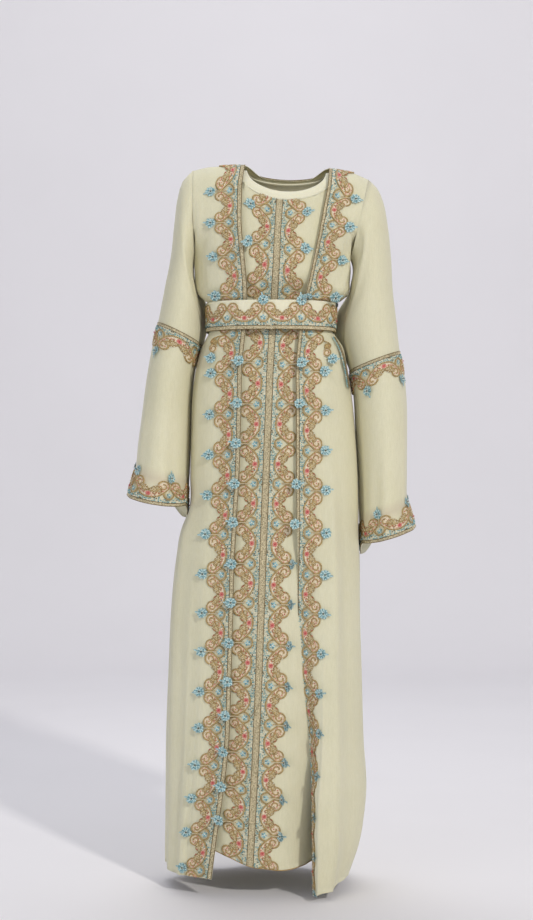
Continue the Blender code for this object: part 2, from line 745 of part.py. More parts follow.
def trim(name, rails, place, closed, outward, flowers, longest, spread=FLOWER_SPREAD, short_top=0.0):
    """Lace between two rails of a panel, its straight edge on the first and its scallops toward the second."""
    normals = rail_normals(rails, closed, outward)
    middle = (rails[0] + rails[1]) / 2
    lengths = np.concatenate([[0.0], np.cumsum(np.linalg.norm(np.diff(middle, axis=0), axis=1))])
    total = lengths[-1] - short_top
    pitch = lengths[-1] / place.repeats if closed else place.pitch
    marks = []
    for repeat in range(-1, math.ceil(total / pitch) + 1):
        for scallop in SCALLOPS:
            marks.append((place.first + (repeat + scallop.share) * pitch, scallop))
    places = [distance for distance, _ in marks]
    stations = [distance for distance in places if CLOSE < distance < total - CLOSE]
    for length in lengths:
        if 0.0 < length < total and min(abs(length - distance) for distance in places) > CLOSE:
            stations.append(length)
    stations += [0.0] if closed else [0.0, total]
    outline = []
    for distance in sorted(stations):
        reach = float(np.interp(distance, places, [scallop.reach for _, scallop in marks]))
        lift = float(np.interp(distance, places, [scallop.flower for _, scallop in marks]))
        index = min(int(np.searchsorted(lengths, distance, side="right")), len(lengths) - 1) - 1
        share = (distance - lengths[index]) / (lengths[index + 1] - lengths[index])
        first = rails[0][index] + share * (rails[0][index + 1] - rails[0][index])
        second = rails[1][index] + share * (rails[1][index + 1] - rails[1][index])
        normal = normals[index] + share * (normals[index + 1] - normals[index])
        if not flowers(first, normal):
            reach, lift = min(reach, VOLUTE_REACH), 0.0
        tip = first + (second - first) * min(reach, longest) / LACE_WIDTH
        under = LACE_GAP + lift * spread
        over = under + LACE_WALL + lift * (FLOWER_WALL - LACE_WALL)
        outline.append(
            [
                first + normal * LACE_GAP,
                tip + normal * under,
                tip + normal * over,
                first + normal * (LACE_GAP + LACE_WALL),
            ]
        )
    bar(name, outline, closed, LACE)


def bar(name, outline, closed, paint):
    """A long solid of four points at each station."""
    points = np.array(outline).reshape(-1, 3)
    count = len(outline)
    faces = []
    for station in range(count if closed else count - 1):
        here, there = station * 4, (station + 1) % count * 4
        for corner in range(4):
            after = (corner + 1) % 4
            faces.append((here + corner, here + after, there + after, there + corner))
    if not closed:
        last = (count - 1) * 4
        faces.append((3, 2, 1, 0))
        faces.append((last, last + 1, last + 2, last + 3))
    add_object(name, points, faces, paint)


def closed_rail(ring):
    return np.concatenate([ring, ring[:1]])


def belt_ring(z, out):
    """A ring round the waist of the robe, moved out, with its points from the front to both sides."""
    centre, half, front, _ = ROBE.frame(z - ROBE.armpit, 1, False)
    rear = ROBE.frame(z - ROBE.armpit, 1, True)[2]
    points = []
    for step in range(BELT_SIDES):
        angle = 2 * math.pi * step / BELT_SIDES
        depth = (rear if math.cos(angle) < 0 else front) + out
        across, ahead = math.sin(angle), math.cos(angle)
        x = centre + math.copysign((half + out) * abs(across) ** (2 / ROUNDNESS), across)
        y = -math.copysign(depth * abs(ahead) ** (2 / ROUNDNESS), ahead)
        points.append(np.array([x, y, z]))
    return np.array(points)


def level_normals(grid):
    normals = outward_normals(grid, vertex_normals(grid, True))
    return flatten(normals, np.array([0.0, 0.0, 1.0]))


def make_robe():
    for side in ("left", "right"):
        grid = robe_front(side)
        normals = seam_normals(grid, ROBE, side == "left", side == "right", -1)
        moved = grid + np.array([0.0, -SEAM / 2, 0.0])
        body_panel(ROBE, "robe", side, moved, normals)
    grid = robe_back_grid()
    normals = seam_normals(grid, ROBE, True, True, 1)
    body_back(ROBE, "robe", grid + np.array([0.0, SEAM / 2, 0.0]), normals)


def robe_back_grid():
    low = [column.share for column in ROBE_BACK_COLUMNS]
    top = [column.top_x for column in ROBE_BACK_COLUMNS]
    return panel_with_neck(ROBE, True, low, top, ROBE_NECK_HALF, ROBE_NECK_DROP)


def make_inner():
    half = NECK_HALF + NECK_BAND + SEAM
    back_drop = NECK_BACK_DROP + NECK_BAND + SEAM
    top = inner_top(BACK_NECK_SHARES)
    panels = {
        "front": (inner_front_grid(), -1),
        "back": (panel_with_neck(INNER, True, INNER_BACK_SHARES, top, half, back_drop), 1),
    }
    for name, (grid, way) in panels.items():
        normals = seam_normals(grid, INNER, True, True, way)
        for column in range(2, grid.shape[1] - 2):
            normals[-1, column] = neck_normal(grid[-1, column])
        moved = grid + np.array([0.0, way * SEAM / 2, 0.0])
        if name == "front":
            body_panel(INNER, "inner", name, moved, normals)
        else:
            body_back(INNER, "inner", moved, normals)


def make_neck_band():
    rails = []
    for half, front_drop, back_drop in (
        (NECK_HALF, NECK_DROP, NECK_BACK_DROP),
        (NECK_HALF + NECK_BAND, NECK_DROP + NECK_BAND, NECK_BACK_DROP + NECK_BAND),
    ):
        front_shares = (-1.0, *FRONT_NECK_SHARES, 1.0)
        ring = [neck_point(INNER, share, half, front_drop, False)[0] for share in front_shares]
        ring += [neck_point(INNER, share, half, back_drop, True)[0] for share in reversed(BACK_NECK_SHARES)]
        rails.append(np.array(ring))
    grid = np.array(rails)
    normals = np.array([[neck_normal(spot) for spot in ring] for ring in grid])
    thick_sheet("neck_band", grid, normals, BAND_WALL, True, PALE_CREAM)


def always(spot, normal):
    return True


def clear_of_belt(spot, normal):
    return not FLAT_BELOW < spot[2] < FLAT_ABOVE


def clear_of_folds(spot, normal):
    return not FLAT_BELOW < spot[2] < FLAT_ARM and spot[2] > FLAT_TURN


def clear_of_body(spot, normal):
    return normal[0] * math.copysign(1.0, spot[0]) > FLAT_SIDE


def make_trims():
    front = np.array([0.0, -1.0, 0.0])
    left = robe_front("left")[:, ::-1]
    right = robe_front("right")
    rails = {
        "edge_lace_left": ((left[:, 0], left[:, 1]), clear_of_belt, FLOWER_REACH, 0.0),
        "edge_lace_right": ((right[:, 0], right[:, 1]), clear_of_folds, FLOWER_REACH, 0.0),
    }
    inner = inner_front_grid()
    for side, (outer, first) in zip(("left", "right"), LACE_CELLS):
        pair = (inner[:, first], inner[:, outer])
        rails[f"centre_lace_{side}"] = (pair, clear_of_belt, VOLUTE_REACH, NECK_SHORT)
    for name, (pair, flowers, longest, short_top) in rails.items():
        trim(name, pair, PLACES[name], False, front, flowers, longest, short_top=short_top)
    braid(inner[:, LACE_CELLS[0][1]], inner[:, LACE_CELLS[1][1]], front)
    for side in ("left", "right"):
        grid = sleeve_grid(side)
        elbow = ELBOW_RING[side]
        for name, near, far, spread in (
            (f"elbow_lace_{side}", grid[elbow], grid[elbow + 1], FLOWER_SPREAD),
            (f"cuff_lace_{side}", grid[-1], grid[-2], CUFF_FLOWER_SPREAD),
        ):
            outward = near[0] - near.mean(axis=0)
            pair = (closed_rail(near), closed_rail(far))
            trim(name, pair, PLACES[name], True, outward, clear_of_body, FLOWER_REACH, spread)


def braid(first, second, front):
    """The plait between the two centre laces."""
    rails = (first, second)
    normals = rail_normals(rails, False, front)
    across = (second - first) / CENTRE_BRAID * SEAM
    outline = []
    for index in range(len(first)):
        low, high = first[index] + across[index], second[index] - across[index]
        low_top, high_top = (LACE_GAP + BRAID_WALL) * normals[index], LACE_GAP * normals[index]
        outline.append([low + high_top, high + high_top, high + low_top, low + low_top])
    bar("centre_braid", outline, False, GOLD)


def make_belt():
    grid = np.array([belt_ring(z, BELT_CLEAR + BAND_WALL) for z in (BELT_LOW, BELT_TOP)])
    thick_sheet("belt_band", grid, level_normals(grid), BAND_WALL, True, PALE_CREAM)
    low, high = closed_rail(grid[0]), closed_rail(grid[1])
    scale = LACE_WIDTH / (BELT_TOP - BELT_LOW)
    pair = (low, low + (high - low) * scale)
    trim("belt_lace", pair, PLACES["belt_lace"], True, np.array([0.0, -1.0, 0.0]), always, FLOWER_REACH)


def make_back_neck_braid():
    """A narrow plait round the back neck of the robe, from one shoulder seam to the other."""
    outline = []
    for step in range(NECK_STEPS + 1):
        share = -math.cos(math.pi * (step + 0.5) / (NECK_STEPS + 1))
        low = neck_point(ROBE, share, ROBE_NECK_HALF, ROBE_NECK_DROP, True)[0]
        wide, deep = ROBE_NECK_HALF + BACK_NECK_BRAID, ROBE_NECK_DROP + BACK_NECK_BRAID
        high = neck_point(ROBE, share, wide, deep, True)[0]
        outward = unit(low - np.array([NECK_CENTRE, 0.0, low[2]]))
        normal = unit(np.array(BACK_BRAID_TILT) + BACK_BRAID_SPREAD * outward)
        under, over = normal * BACK_BRAID_GAP, normal * (BACK_BRAID_GAP + BRAID_WALL)
        outline.append([low + under, high + under, high + over, low + over])
    bar("back_neck_braid", outline, False, GOLD)


def make_sleeves():
    for side in ("left", "right"):
        grid = sleeve_grid(side)
        upper, lower = part_at_row(grid, sleeve_normals(grid, side), ELBOW_RING[side])
        for length, (points, outward) in (("upper", upper), ("lower", lower)):
            thick_sheet(f"sleeve_{length}_{side}", points, outward, WALL, True, CREAM)


def main():
    for obj in list(bpy.data.objects):
        bpy.data.objects.remove(obj, do_unlink=True)
    make_inner()
    make_neck_band()
    make_robe()
    make_sleeves()
    make_belt()
    make_back_neck_braid()
    make_trims()


main()
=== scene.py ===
"""Kaftan of two layers and a belt: its cloth, braids, beaded lace and raised flowers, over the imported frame.

Metres, +Z up, the front faces -Y. Left and right are those of a viewer in front, so left is the -X side.
"""

import math
from collections import namedtuple

import bpy
import mathutils
import numpy as np
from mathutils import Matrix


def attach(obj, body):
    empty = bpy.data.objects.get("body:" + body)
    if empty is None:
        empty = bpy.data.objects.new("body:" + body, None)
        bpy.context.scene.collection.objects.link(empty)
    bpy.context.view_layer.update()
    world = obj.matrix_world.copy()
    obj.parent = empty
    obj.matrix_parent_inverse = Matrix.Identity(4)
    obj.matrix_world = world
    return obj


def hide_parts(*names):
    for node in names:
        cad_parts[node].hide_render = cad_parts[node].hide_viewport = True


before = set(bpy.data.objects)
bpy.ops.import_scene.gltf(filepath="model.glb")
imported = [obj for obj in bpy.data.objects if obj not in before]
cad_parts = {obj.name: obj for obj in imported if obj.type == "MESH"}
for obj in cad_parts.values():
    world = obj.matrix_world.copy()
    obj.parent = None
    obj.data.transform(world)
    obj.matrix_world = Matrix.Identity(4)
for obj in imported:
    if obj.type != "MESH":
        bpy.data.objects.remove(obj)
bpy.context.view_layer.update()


def rows_of(kind, *rows):
    """The rows of a table, each with the named columns of its kind."""
    return [kind(*row) for row in rows]


# What the whole script counts with.
TINY = 1e-12
NEAR = 1e-6
MILLI = 0.001
MM_A_METRE = 1000
SEED = 7
AHEAD = np.array([0.0, -1.0, 0.0])
BEHIND = -AHEAD

# Sizes that the solids are made to, all in metres.
ROUNDNESS = 2.3
LACE_WIDTH = 0.052
CENTRE_BRAID = 0.014
BACK_NECK_BRAID = 0.012
BELT_LOW = -0.334
BELT_TOP = -0.275
BELT_CLEAR = 0.0036
BELT_SIDES = 120
FLAT_ABOVE = -0.240
FLAT_BELOW = -0.362

# Neck band of the inner dress, and the back neck of the robe.
NECK_CENTRE = 0.011
NECK_HALF = 0.081
NECK_DROP = 0.051
NECK_BACK_DROP = 0.018
NECK_BAND = 0.0145
SEAM = 0.0003
NECK_PAST = 1.001
NECK_HEART = -0.130
ROBE_NECK_HALF = 0.0855
ROBE_NECK_DROP = 0.020

# Folds of the robe skirt.
FOLD_COUNT = 9
FOLD_HEM = 0.007
FOLD_CHEST = 0.0015
FOLD_FROM = math.radians(56)
FOLD_FULL = math.radians(74)
FOLD_END = -0.200

# How the rows run from the armpit up to the shoulder seam.
BODY_CENTRE = -0.001
FRONT_COLUMNS = 6
SLEEVE_SIDES = 20
SHOULDER_ROWS = 6
TOP_LEVEL = 0.9999
SHOULDER_POWER_FRONT = 1.7
SHOULDER_POWER_BACK = 2.4

# The right front of the robe: its hem turns to the side, hangs lower and swings forward.
TURN_ANGLE = math.radians(86)
TURN_FROM = -0.74
TURN_FULL = -1.32
RIGHT_HEM_DROP = 0.025
HEM_DROP_FROM = -1.16
RIGHT_FORWARD = 0.042
FORWARD_FROM = -0.50

# Each row of a layer, below the armpit: its sides, and how deep it is in front and behind.
Section = namedtuple("Section", "z left right front back")
ROBE_SECTIONS = rows_of(
    Section,
    (-1.424, -0.231, 0.137, 0.14, 0.15), (-1.36, -0.23, 0.159, 0.139, 0.149),
    (-1.28, -0.23, 0.171, 0.137, 0.147), (-1.16, -0.23, 0.166, 0.134, 0.142),
    (-1.03, -0.227, 0.163, 0.13, 0.137), (-0.9, -0.223, 0.16, 0.126, 0.132),
    (-0.8, -0.214, 0.16, 0.124, 0.13), (-0.74, -0.204, 0.158, 0.122, 0.128),
    (-0.7, -0.1885, 0.158, 0.121, 0.127), (-0.62, -0.1855, 0.157, 0.12, 0.126),
    (-0.54, -0.184, 0.152, 0.118, 0.124), (-0.47, -0.182, 0.1455, 0.115, 0.12),
    (-0.4, -0.1725, 0.1345, 0.11, 0.112), (-0.362, -0.161, 0.125, 0.105, 0.103),
    (-0.334, -0.147, 0.106, 0.098, 0.09), (-0.304, -0.147, 0.106, 0.098, 0.09),
    (-0.278, -0.147, 0.106, 0.098, 0.09), (-0.273, -0.148, 0.108, 0.099, 0.091),
    (-0.267, -0.158, 0.122, 0.102, 0.097), (-0.256, -0.1685, 0.137, 0.105, 0.1),
    (-0.235, -0.1738, 0.1402, 0.109, 0.102), (-0.21, -0.1752, 0.1425, 0.115, 0.104),
    (-0.183, -0.176, 0.142, 0.118, 0.105),
)
INNER_SECTIONS = rows_of(
    Section,
    (-1.405, -0.17, 0.078, 0.129, 0.13), (-1.28, -0.182, 0.1, 0.126, 0.129),
    (-1.1, -0.195, 0.135, 0.122, 0.127), (-0.9, -0.208, 0.148, 0.117, 0.122),
    (-0.74, -0.186, 0.145, 0.113, 0.119), (-0.62, -0.17, 0.143, 0.111, 0.116),
    (-0.5, -0.166, 0.135, 0.105, 0.111), (-0.4, -0.157, 0.119, 0.098, 0.102),
    (-0.362, -0.146, 0.106, 0.092, 0.092), (-0.334, -0.136, 0.089, 0.085, 0.08),
    (-0.304, -0.136, 0.089, 0.085, 0.08), (-0.262, -0.136, 0.089, 0.085, 0.08),
    (-0.225, -0.156, 0.121, 0.104, 0.093), (-0.19, -0.162, 0.128, 0.109, 0.096),
)

Armhole = namedtuple("Armhole", "top_x top_z low_x low_z depth")
ROBE_HOLES = {
    -1: Armhole(-0.180, -0.002, -0.176, -0.183, 0.072),
    1: Armhole(0.178, -0.020, 0.142, -0.183, 0.072),
}
INNER_HOLES = {
    -1: Armhole(-0.160, -0.009, -0.162, -0.190, 0.058),
    1: Armhole(0.160, -0.023, 0.128, -0.190, 0.058),
}

# The shoulder seam, from side to side.
Shoulder = namedtuple("Shoulder", "x z")
ROBE_SHOULDERS = rows_of(
    Shoulder,
    (-0.18, -0.002), (-0.148, 0.006), (-0.073, 0.01), (0.098, 0.003), (0.15, -0.007), (0.178, -0.02),
)
INNER_SHOULDERS = rows_of(
    Shoulder,
    (-0.16, -0.009), (-0.0845, -0.001), (0.1065, -0.007), (0.16, -0.023),
)

# The front edges of the robe and the middle of the inner dress, by height.
Edge = namedtuple("Edge", "z x")
ROBE_EDGE_LEFT = rows_of(
    Edge,
    (-1.42, -0.139), (-1.3, -0.122), (-1.2, -0.106), (-1.0, -0.0985), (-0.8, -0.0935), (-0.6, -0.0825),
    (-0.4, -0.078), (-0.3, -0.0675), (-0.24, -0.069), (-0.12, -0.08), (-0.04, -0.079), (0.01, -0.073),
)
ROBE_EDGE_RIGHT = rows_of(
    Edge,
    (-1.42, 0.063), (-1.28, 0.0615), (-1.16, 0.057), (-1.03, 0.0385), (-0.9, 0.0325), (-0.6, 0.029),
    (-0.4, 0.029), (-0.3, 0.039), (-0.24, 0.054), (-0.12, 0.079), (-0.04, 0.094), (0.003, 0.098),
)
CENTRE_LINE = rows_of(
    Edge,
    (-1.41, -0.063), (-1.31, -0.0578), (-1.2, -0.0525), (-1.03, -0.0447), (-0.8, -0.0375), (-0.4, -0.022),
    (-0.18, -0.009), (-0.06, -0.003),
)
# How far the hem of the inner dress drops below its lowest section.
Drop = namedtuple("Drop", "drop x")
INNER_HEM = rows_of(
    Drop,
    (-0.006, 0.06), (0.003, 0.01), (-0.002, -0.044), (-0.017, -0.096), (-0.033, -0.129),
)
HEM_ROWS = 3

# Columns of a panel: the share of the way from the middle to the side below, and the x at the top.
FRONT_NECK_SHARES = (-0.92, -0.754, -0.48, -0.22, -0.073, 0.20, 0.46, 0.73, 0.92)
BACK_NECK_SHARES = (-0.86, -0.5, 0.0, 0.5, 0.86)
INNER_LEFT_SHARES = (-1.0, -0.84, -0.68, -0.56)
INNER_RIGHT_SHARES = (0.56, 0.66, 0.78, 0.89, 1.0)
INNER_BACK_SHARES = (-1.0, -0.8, -0.6, -0.45, -0.25, 0.0, 0.25, 0.45, 0.6, 0.8, 1.0)
INNER_TOP_LEFT = -0.122
INNER_TOP_RIGHT = 0.134
Column = namedtuple("Column", "share top_x")
ROBE_BACK_COLUMNS = rows_of(
    Column,
    (-1.0, -0.18), (-0.84, -0.155), (-0.68, -0.128), (-0.52, -0.101), (-0.38, -0.0745), (-0.2, -0.0403),
    (0.0, 0.011), (0.2, 0.0623), (0.38, 0.0965), (0.52, 0.118), (0.68, 0.138), (0.84, 0.158), (1.0, 0.178),
)

# The columns of the inner front that carry the two centre laces, outer and inner.
LACE_CELLS = ((4, 6), (9, 7))

# Each ring of a sleeve, from the armhole to the cuff. Fall lowers its front, tuck moves the part behind the
# arm toward the body and hang lowers it.
Ring = namedtuple("Ring", "outer_x outer_z inner_x inner_z depth fall tuck hang")
SLEEVES = {
    "left": rows_of(
        Ring,
        (-0.18, -0.002, -0.176, -0.183, 0.072, 0.0, 0.0, 0.0),
        (-0.201, -0.024, -0.1785, -0.197, 0.074, 0.0, 0.0, 0.0),
        (-0.211, -0.056, -0.1785, -0.212, 0.074, 0.0, 0.0, 0.0),
        (-0.218, -0.108, -0.1762, -0.231, 0.073, 0.0, 0.0, 0.0),
        (-0.225, -0.174, -0.1708, -0.256, 0.072, 0.0, 0.014, 0.0),
        (-0.238, -0.242, -0.163, -0.296, 0.072, -0.02, 0.026, 0.0),
        (-0.252, -0.314, -0.1655, -0.357, 0.074, -0.03, 0.018, 0.0),
        (-0.264, -0.364, -0.1775, -0.408, 0.079, -0.03, 0.002, 0.0),
        (-0.274, -0.42, -0.1842, -0.46, 0.084, 0.0, 0.0, 0.0),
        (-0.2845, -0.5, -0.1868, -0.53, 0.091, 0.02, 0.0, 0.0),
        (-0.2925, -0.56, -0.1885, -0.588, 0.097, 0.05, 0.0, 0.01),
        (-0.2985, -0.613, -0.1905, -0.636, 0.101, 0.08, 0.0, 0.03),
        (-0.3145, -0.664, -0.1925, -0.684, 0.106, 0.09, 0.0, 0.036),
    ),
    "right": rows_of(
        Ring,
        (0.178, -0.02, 0.142, -0.183, 0.072, 0.0, 0.0, 0.0),
        (0.197, -0.039, 0.1465, -0.197, 0.074, 0.0, 0.0, 0.0),
        (0.209, -0.066, 0.147, -0.212, 0.074, 0.0, 0.0, 0.0),
        (0.218, -0.112, 0.1428, -0.234, 0.073, 0.0, 0.0, 0.0),
        (0.225, -0.178, 0.1392, -0.268, 0.072, 0.0, 0.016, 0.0),
        (0.229, -0.25, 0.127, -0.318, 0.072, 0.0, 0.036, 0.0),
        (0.236, -0.31, 0.1305, -0.362, 0.074, -0.02, 0.032, 0.0),
        (0.243, -0.373, 0.1412, -0.412, 0.076, -0.03, 0.008, 0.0),
        (0.2525, -0.4225, 0.1485, -0.462, 0.081, -0.02, 0.0, 0.0),
        (0.257, -0.47, 0.152, -0.51, 0.086, 0.0, 0.0, 0.0),
        (0.258, -0.55, 0.157, -0.59, 0.093, 0.01, 0.0, 0.0),
        (0.2575, -0.62, 0.16, -0.655, 0.098, 0.03, 0.0, 0.01),
        (0.259, -0.678, 0.1622, -0.714, 0.101, 0.05, 0.0, 0.028),
        (0.2745, -0.728, 0.1635, -0.762, 0.106, 0.055, 0.0, 0.034),
    ),
}
HANG_AT = math.radians(215)
TUCK_AT = math.radians(235)
BEHIND_REACH = math.radians(56)
ELBOW_RING = {"left": 6, "right": 7}

# Where the first flower of a trim round an arm or the waist is, and how many it has.
Place = namedtuple("Place", "first repeats")
PLACES = {
    "elbow_lace_left": Place(0.058, 4),
    "elbow_lace_right": Place(0.052, 5),
    "cuff_lace_left": Place(0.071, 6),
    "cuff_lace_right": Place(0.0637, 6),
    "belt_lace": Place(-0.016, 10),
}


def unit(vector):
    return vector / max(np.linalg.norm(vector), TINY)


def table_value(rows, at, key, value):
    pairs = sorted((getattr(row, key), getattr(row, value)) for row in rows)
    return float(np.interp(at, [pair[0] for pair in pairs], [pair[1] for pair in pairs]))


def smooth_step(low, high, value):
    """0 up to low and 1 from high on, with a smooth rise between them, for a number or an array."""
    share = np.clip((value - low) / (high - low), 0.0, 1.0)
    return share * share * (3.0 - 2.0 * share)


class Layer:
    """One layer of the garment.

    A level is metres below the armpit if negative, or a share of the rise to the shoulder.
    """

    def __init__(self, sections, holes, shoulders, folded):
        self.sections = sections
        self.holes = holes
        self.shoulders = shoulders
        self.folded = folded
        self.armpit = sections[-1].z

    def levels(self):
        below = [row.z - self.armpit for row in self.sections]
        above = [1.0 - (1.0 - step / SHOULDER_ROWS) ** 2 for step in range(1, SHOULDER_ROWS + 1)]
        return below + above

    def frame(self, level, sign, back):
        """Centre, half width, depth and widest angle of a row, on one side."""
        if level <= 0.0:
            z = self.armpit + level
            left, right, front, rear = (
                table_value(self.sections, z, "z", field) for field in ("left", "right", "front", "back")
            )
            return (left + right) / 2, (right - left) / 2, rear if back else front, math.pi / 2
        level = min(level, TOP_LEVEL)
        last = self.sections[-1]
        hole = self.holes[sign]
        other = self.holes[-sign]
        low_centre = (hole.low_x + other.low_x) / 2
        centre = low_centre + level * ((hole.top_x + other.top_x) / 2 - low_centre)
        reach = abs(hole.low_x + level * (hole.top_x - hole.low_x) - centre)
        power = SHOULDER_POWER_BACK if back else SHOULDER_POWER_FRONT
        depth = (last.back if back else last.front) * math.sqrt(1.0 - level**power)
        share = hole.depth * math.sqrt(1.0 - (2.0 * level - 1.0) ** 2) / depth
        half = reach / (1.0 - share**ROUNDNESS) ** (1.0 / ROUNDNESS)
        return centre, half, depth, math.asin((reach / half) ** (ROUNDNESS / 2))

    def widest(self, level, sign, back):
        return self.frame(level, sign, back)[3]

    def angle_at(self, level, x, back):
        side = 1 if x > BODY_CENTRE else -1
        sign = 1 if x >= self.frame(level, side, back)[0] else -1
        centre, half, _, widest = self.frame(level, sign, back)
        share = min(abs(x - centre) / half, 1.0)
        return sign * min(math.asin(share ** (ROUNDNESS / 2)), widest)

    def point(self, level, angle, back):
        sign = -1 if angle < 0 else 1
        centre, half, depth, _ = self.frame(level, sign, back)
        x = centre + sign * half * abs(math.sin(angle)) ** (2 / ROUNDNESS)
        y = depth * max(math.cos(angle), 0.0) ** (2 / ROUNDNESS)
        if level >= 1.0:
            y = 0.0
        z = self.armpit + level
        if level > 0.0:
            z = self.armpit + level * (self.shoulder_at(level, x, sign) - self.armpit)
        spot = np.array([x, y if back else -y, z])
        return spot + self.fold(spot, centre, angle, level, back)

    def shoulder_at(self, level, x, sign):
        hole = self.holes[sign]
        centre = self.frame(level, sign, False)[0]
        top_centre = (self.holes[-1].top_x + self.holes[1].top_x) / 2
        reach = abs(hole.low_x + min(level, 1.0) * (hole.top_x - hole.low_x) - centre)
        matched = top_centre + (x - centre) * abs(hole.top_x - top_centre) / reach
        return table_value(self.shoulders, matched, "x", "z")

    def fold(self, spot, centre, angle, level, back):
        """Outward shift of the soft folds, none at the front where the lace lies."""
        if not self.folded or level > 0.0:
            return np.zeros(3)
        around = math.pi - abs(angle) if back else abs(angle)
        window = smooth_step(FOLD_FROM, FOLD_FULL, around)
        z = self.armpit + level
        low = FOLD_HEM * (1.0 - smooth_step(self.sections[0].z, FLAT_BELOW, z))
        high = FOLD_CHEST * smooth_step(FLAT_ABOVE, self.armpit, z)
        high *= 1.0 - smooth_step(FOLD_END, self.armpit, z)
        depth = (low if z < BELT_LOW else high) * window * (1.0 - math.cos(FOLD_COUNT * around)) / 2
        outward = unit(np.array([spot[0] - centre, spot[1], 0.0]))
        return outward * depth


ROBE = Layer(ROBE_SECTIONS, ROBE_HOLES, ROBE_SHOULDERS, True)
INNER = Layer(INNER_SECTIONS, INNER_HOLES, INNER_SHOULDERS, False)


def robe_front(side):
    """Outer points of one front of the robe: rows from hem to shoulder, columns from front edge to side."""
    sign = -1 if side == "left" else 1
    edge = ROBE_EDGE_LEFT if side == "left" else ROBE_EDGE_RIGHT
    shares = [step / FRONT_COLUMNS for step in range(1, FRONT_COLUMNS + 1)]
    rows = []
    for level in ROBE.levels():
        z = ROBE.armpit + level if level <= 0 else ROBE.armpit + level * (edge[-1].z - ROBE.armpit)
        edge_x = table_value(edge, z, "z", "x")
        turn = TURN_ANGLE * (1.0 - smooth_step(TURN_FULL, TURN_FROM, z)) if side == "right" else 0.0
        lace_x = edge_x + sign * LACE_WIDTH * math.cos(turn)
        lace_angle = ROBE.angle_at(level, lace_x, False)
        widest = sign * ROBE.widest(level, sign, False)
        lace = ROBE.point(level, lace_angle, False)
        if turn > 0.0:
            first = lace + LACE_WIDTH * np.array([-math.cos(turn), math.sin(turn), 0.0])
        else:
            first = ROBE.point(level, ROBE.angle_at(level, edge_x, False), False)
        row = [first, lace]
        for share in shares:
            row.append(ROBE.point(level, lace_angle + share * (widest - lace_angle), False))
        if side == "right":
            hem = ROBE.sections[0].z
            drop = RIGHT_HEM_DROP * (1.0 - smooth_step(hem, HEM_DROP_FROM, z))
            forward = RIGHT_FORWARD * (1.0 - smooth_step(hem, FORWARD_FROM, z))
            for column, spot in enumerate(row):
                share = 1.0 - max(column - 1, 0) / FRONT_COLUMNS
                spot -= share * np.array([0.0, forward, drop])
        rows.append(row)
    grid = np.array(rows)
    return grid if side == "right" else grid[:, ::-1]


def neck_spot(layer, share, half, drop):
    """x and z of a neck curve, from -1 at one shoulder to 1 at the other."""
    x = NECK_CENTRE + share * half
    side = table_value(layer.shoulders, x, "x", "z")
    return x, side - drop * math.sqrt(max(1.0 - share * share, 0.0))


def neck_point(layer, share, half, drop, back):
    x, z = neck_spot(layer, share, half, drop)
    top = table_value(layer.shoulders, x, "x", "z")
    level = (z - layer.armpit) / (top - layer.armpit)
    spot = layer.point(level, layer.angle_at(level, x, back), back)
    return np.array([x, spot[1], z]), level


def panel_with_neck(layer, back, columns_low, columns_top, half, drop):
    """A whole front or back: each column runs from the hem to the shoulder or to the neck curve.

    columns_low gives each column's share of the widest angle, or a function of z for its x.
    columns_top gives its x at the top.
    """
    below = [level for level in layer.levels() if level <= 0.0]
    above = [level for level in layer.levels() if level > 0.0]
    grid = np.zeros((len(below) + len(above), len(columns_low), 3))
    for column, (low, top_x) in enumerate(zip(columns_low, columns_top)):
        share = (top_x - NECK_CENTRE) / half
        end_level = 1.0
        if abs(share) < 1.0:
            end_level = neck_point(layer, share, half, drop, back)[1]
        end_angle = layer.angle_at(end_level, top_x, back)
        sign = -1 if end_angle < 0 else 1
        if abs(top_x - layer.holes[sign].top_x) < NEAR:
            end_angle = sign * layer.widest(end_level, sign, back)
        for row, level in enumerate(below):
            grid[row, column] = layer.point(level, low_angle(layer, level, low, back), back)
        start_angle = low_angle(layer, 0.0, low, back)
        start_share = start_angle / layer.widest(0.0, sign, back)
        end_share = end_angle / layer.widest(end_level, sign, back)
        for row, rise in enumerate(above):
            level = rise * end_level
            share = start_share + rise * (end_share - start_share)
            angle = share * layer.widest(level, -1 if share < 0 else 1, back)
            grid[len(below) + row, column] = layer.point(level, angle, back)
    return grid


def low_angle(layer, level, low, back):
    if callable(low):
        return layer.angle_at(level, low(layer.armpit + level), back)
    sign = -1 if low < 0 else 1
    return low * layer.widest(level, sign, back)


def neck_columns(shares):
    """The x of the panel columns that end on the neck curve, just outside the band."""
    half = NECK_HALF + NECK_BAND + SEAM
    return [NECK_CENTRE + share * half for share in (-NECK_PAST, *shares, NECK_PAST)]


def neck_normal(spot):
    """One direction for the walls of the neck band: away from a point below the middle of the neck."""
    return unit(spot - np.array([NECK_CENTRE, 0.0, NECK_HEART]))


def inner_front_grid():
    half = NECK_HALF + NECK_BAND + SEAM
    drop = NECK_DROP + NECK_BAND + SEAM
    edge = CENTRE_BRAID / 2
    right = [edge, edge + LACE_WIDTH / 2, edge + LACE_WIDTH]
    left = [-offset for offset in reversed(right)]
    middle = [centre_offset(offset) for offset in left + right]
    low = [*INNER_LEFT_SHARES, *middle, *INNER_RIGHT_SHARES]
    top = inner_top(FRONT_NECK_SHARES)
    grid = panel_with_neck(INNER, False, low, top, half, drop)
    for outer, inner in LACE_CELLS:
        halfway = (outer + inner) // 2
        grid[:-1, halfway] = (grid[:-1, outer] + grid[:-1, inner]) / 2
    for column in range(grid.shape[1]):
        drop = table_value(INNER_HEM, grid[0, column][0], "x", "drop")
        for row in range(HEM_ROWS):
            grid[row, column][2] -= drop * (1.0 - row / HEM_ROWS)
    return grid


def centre_offset(offset):
    return lambda z: table_value(CENTRE_LINE, z, "z", "x") + offset


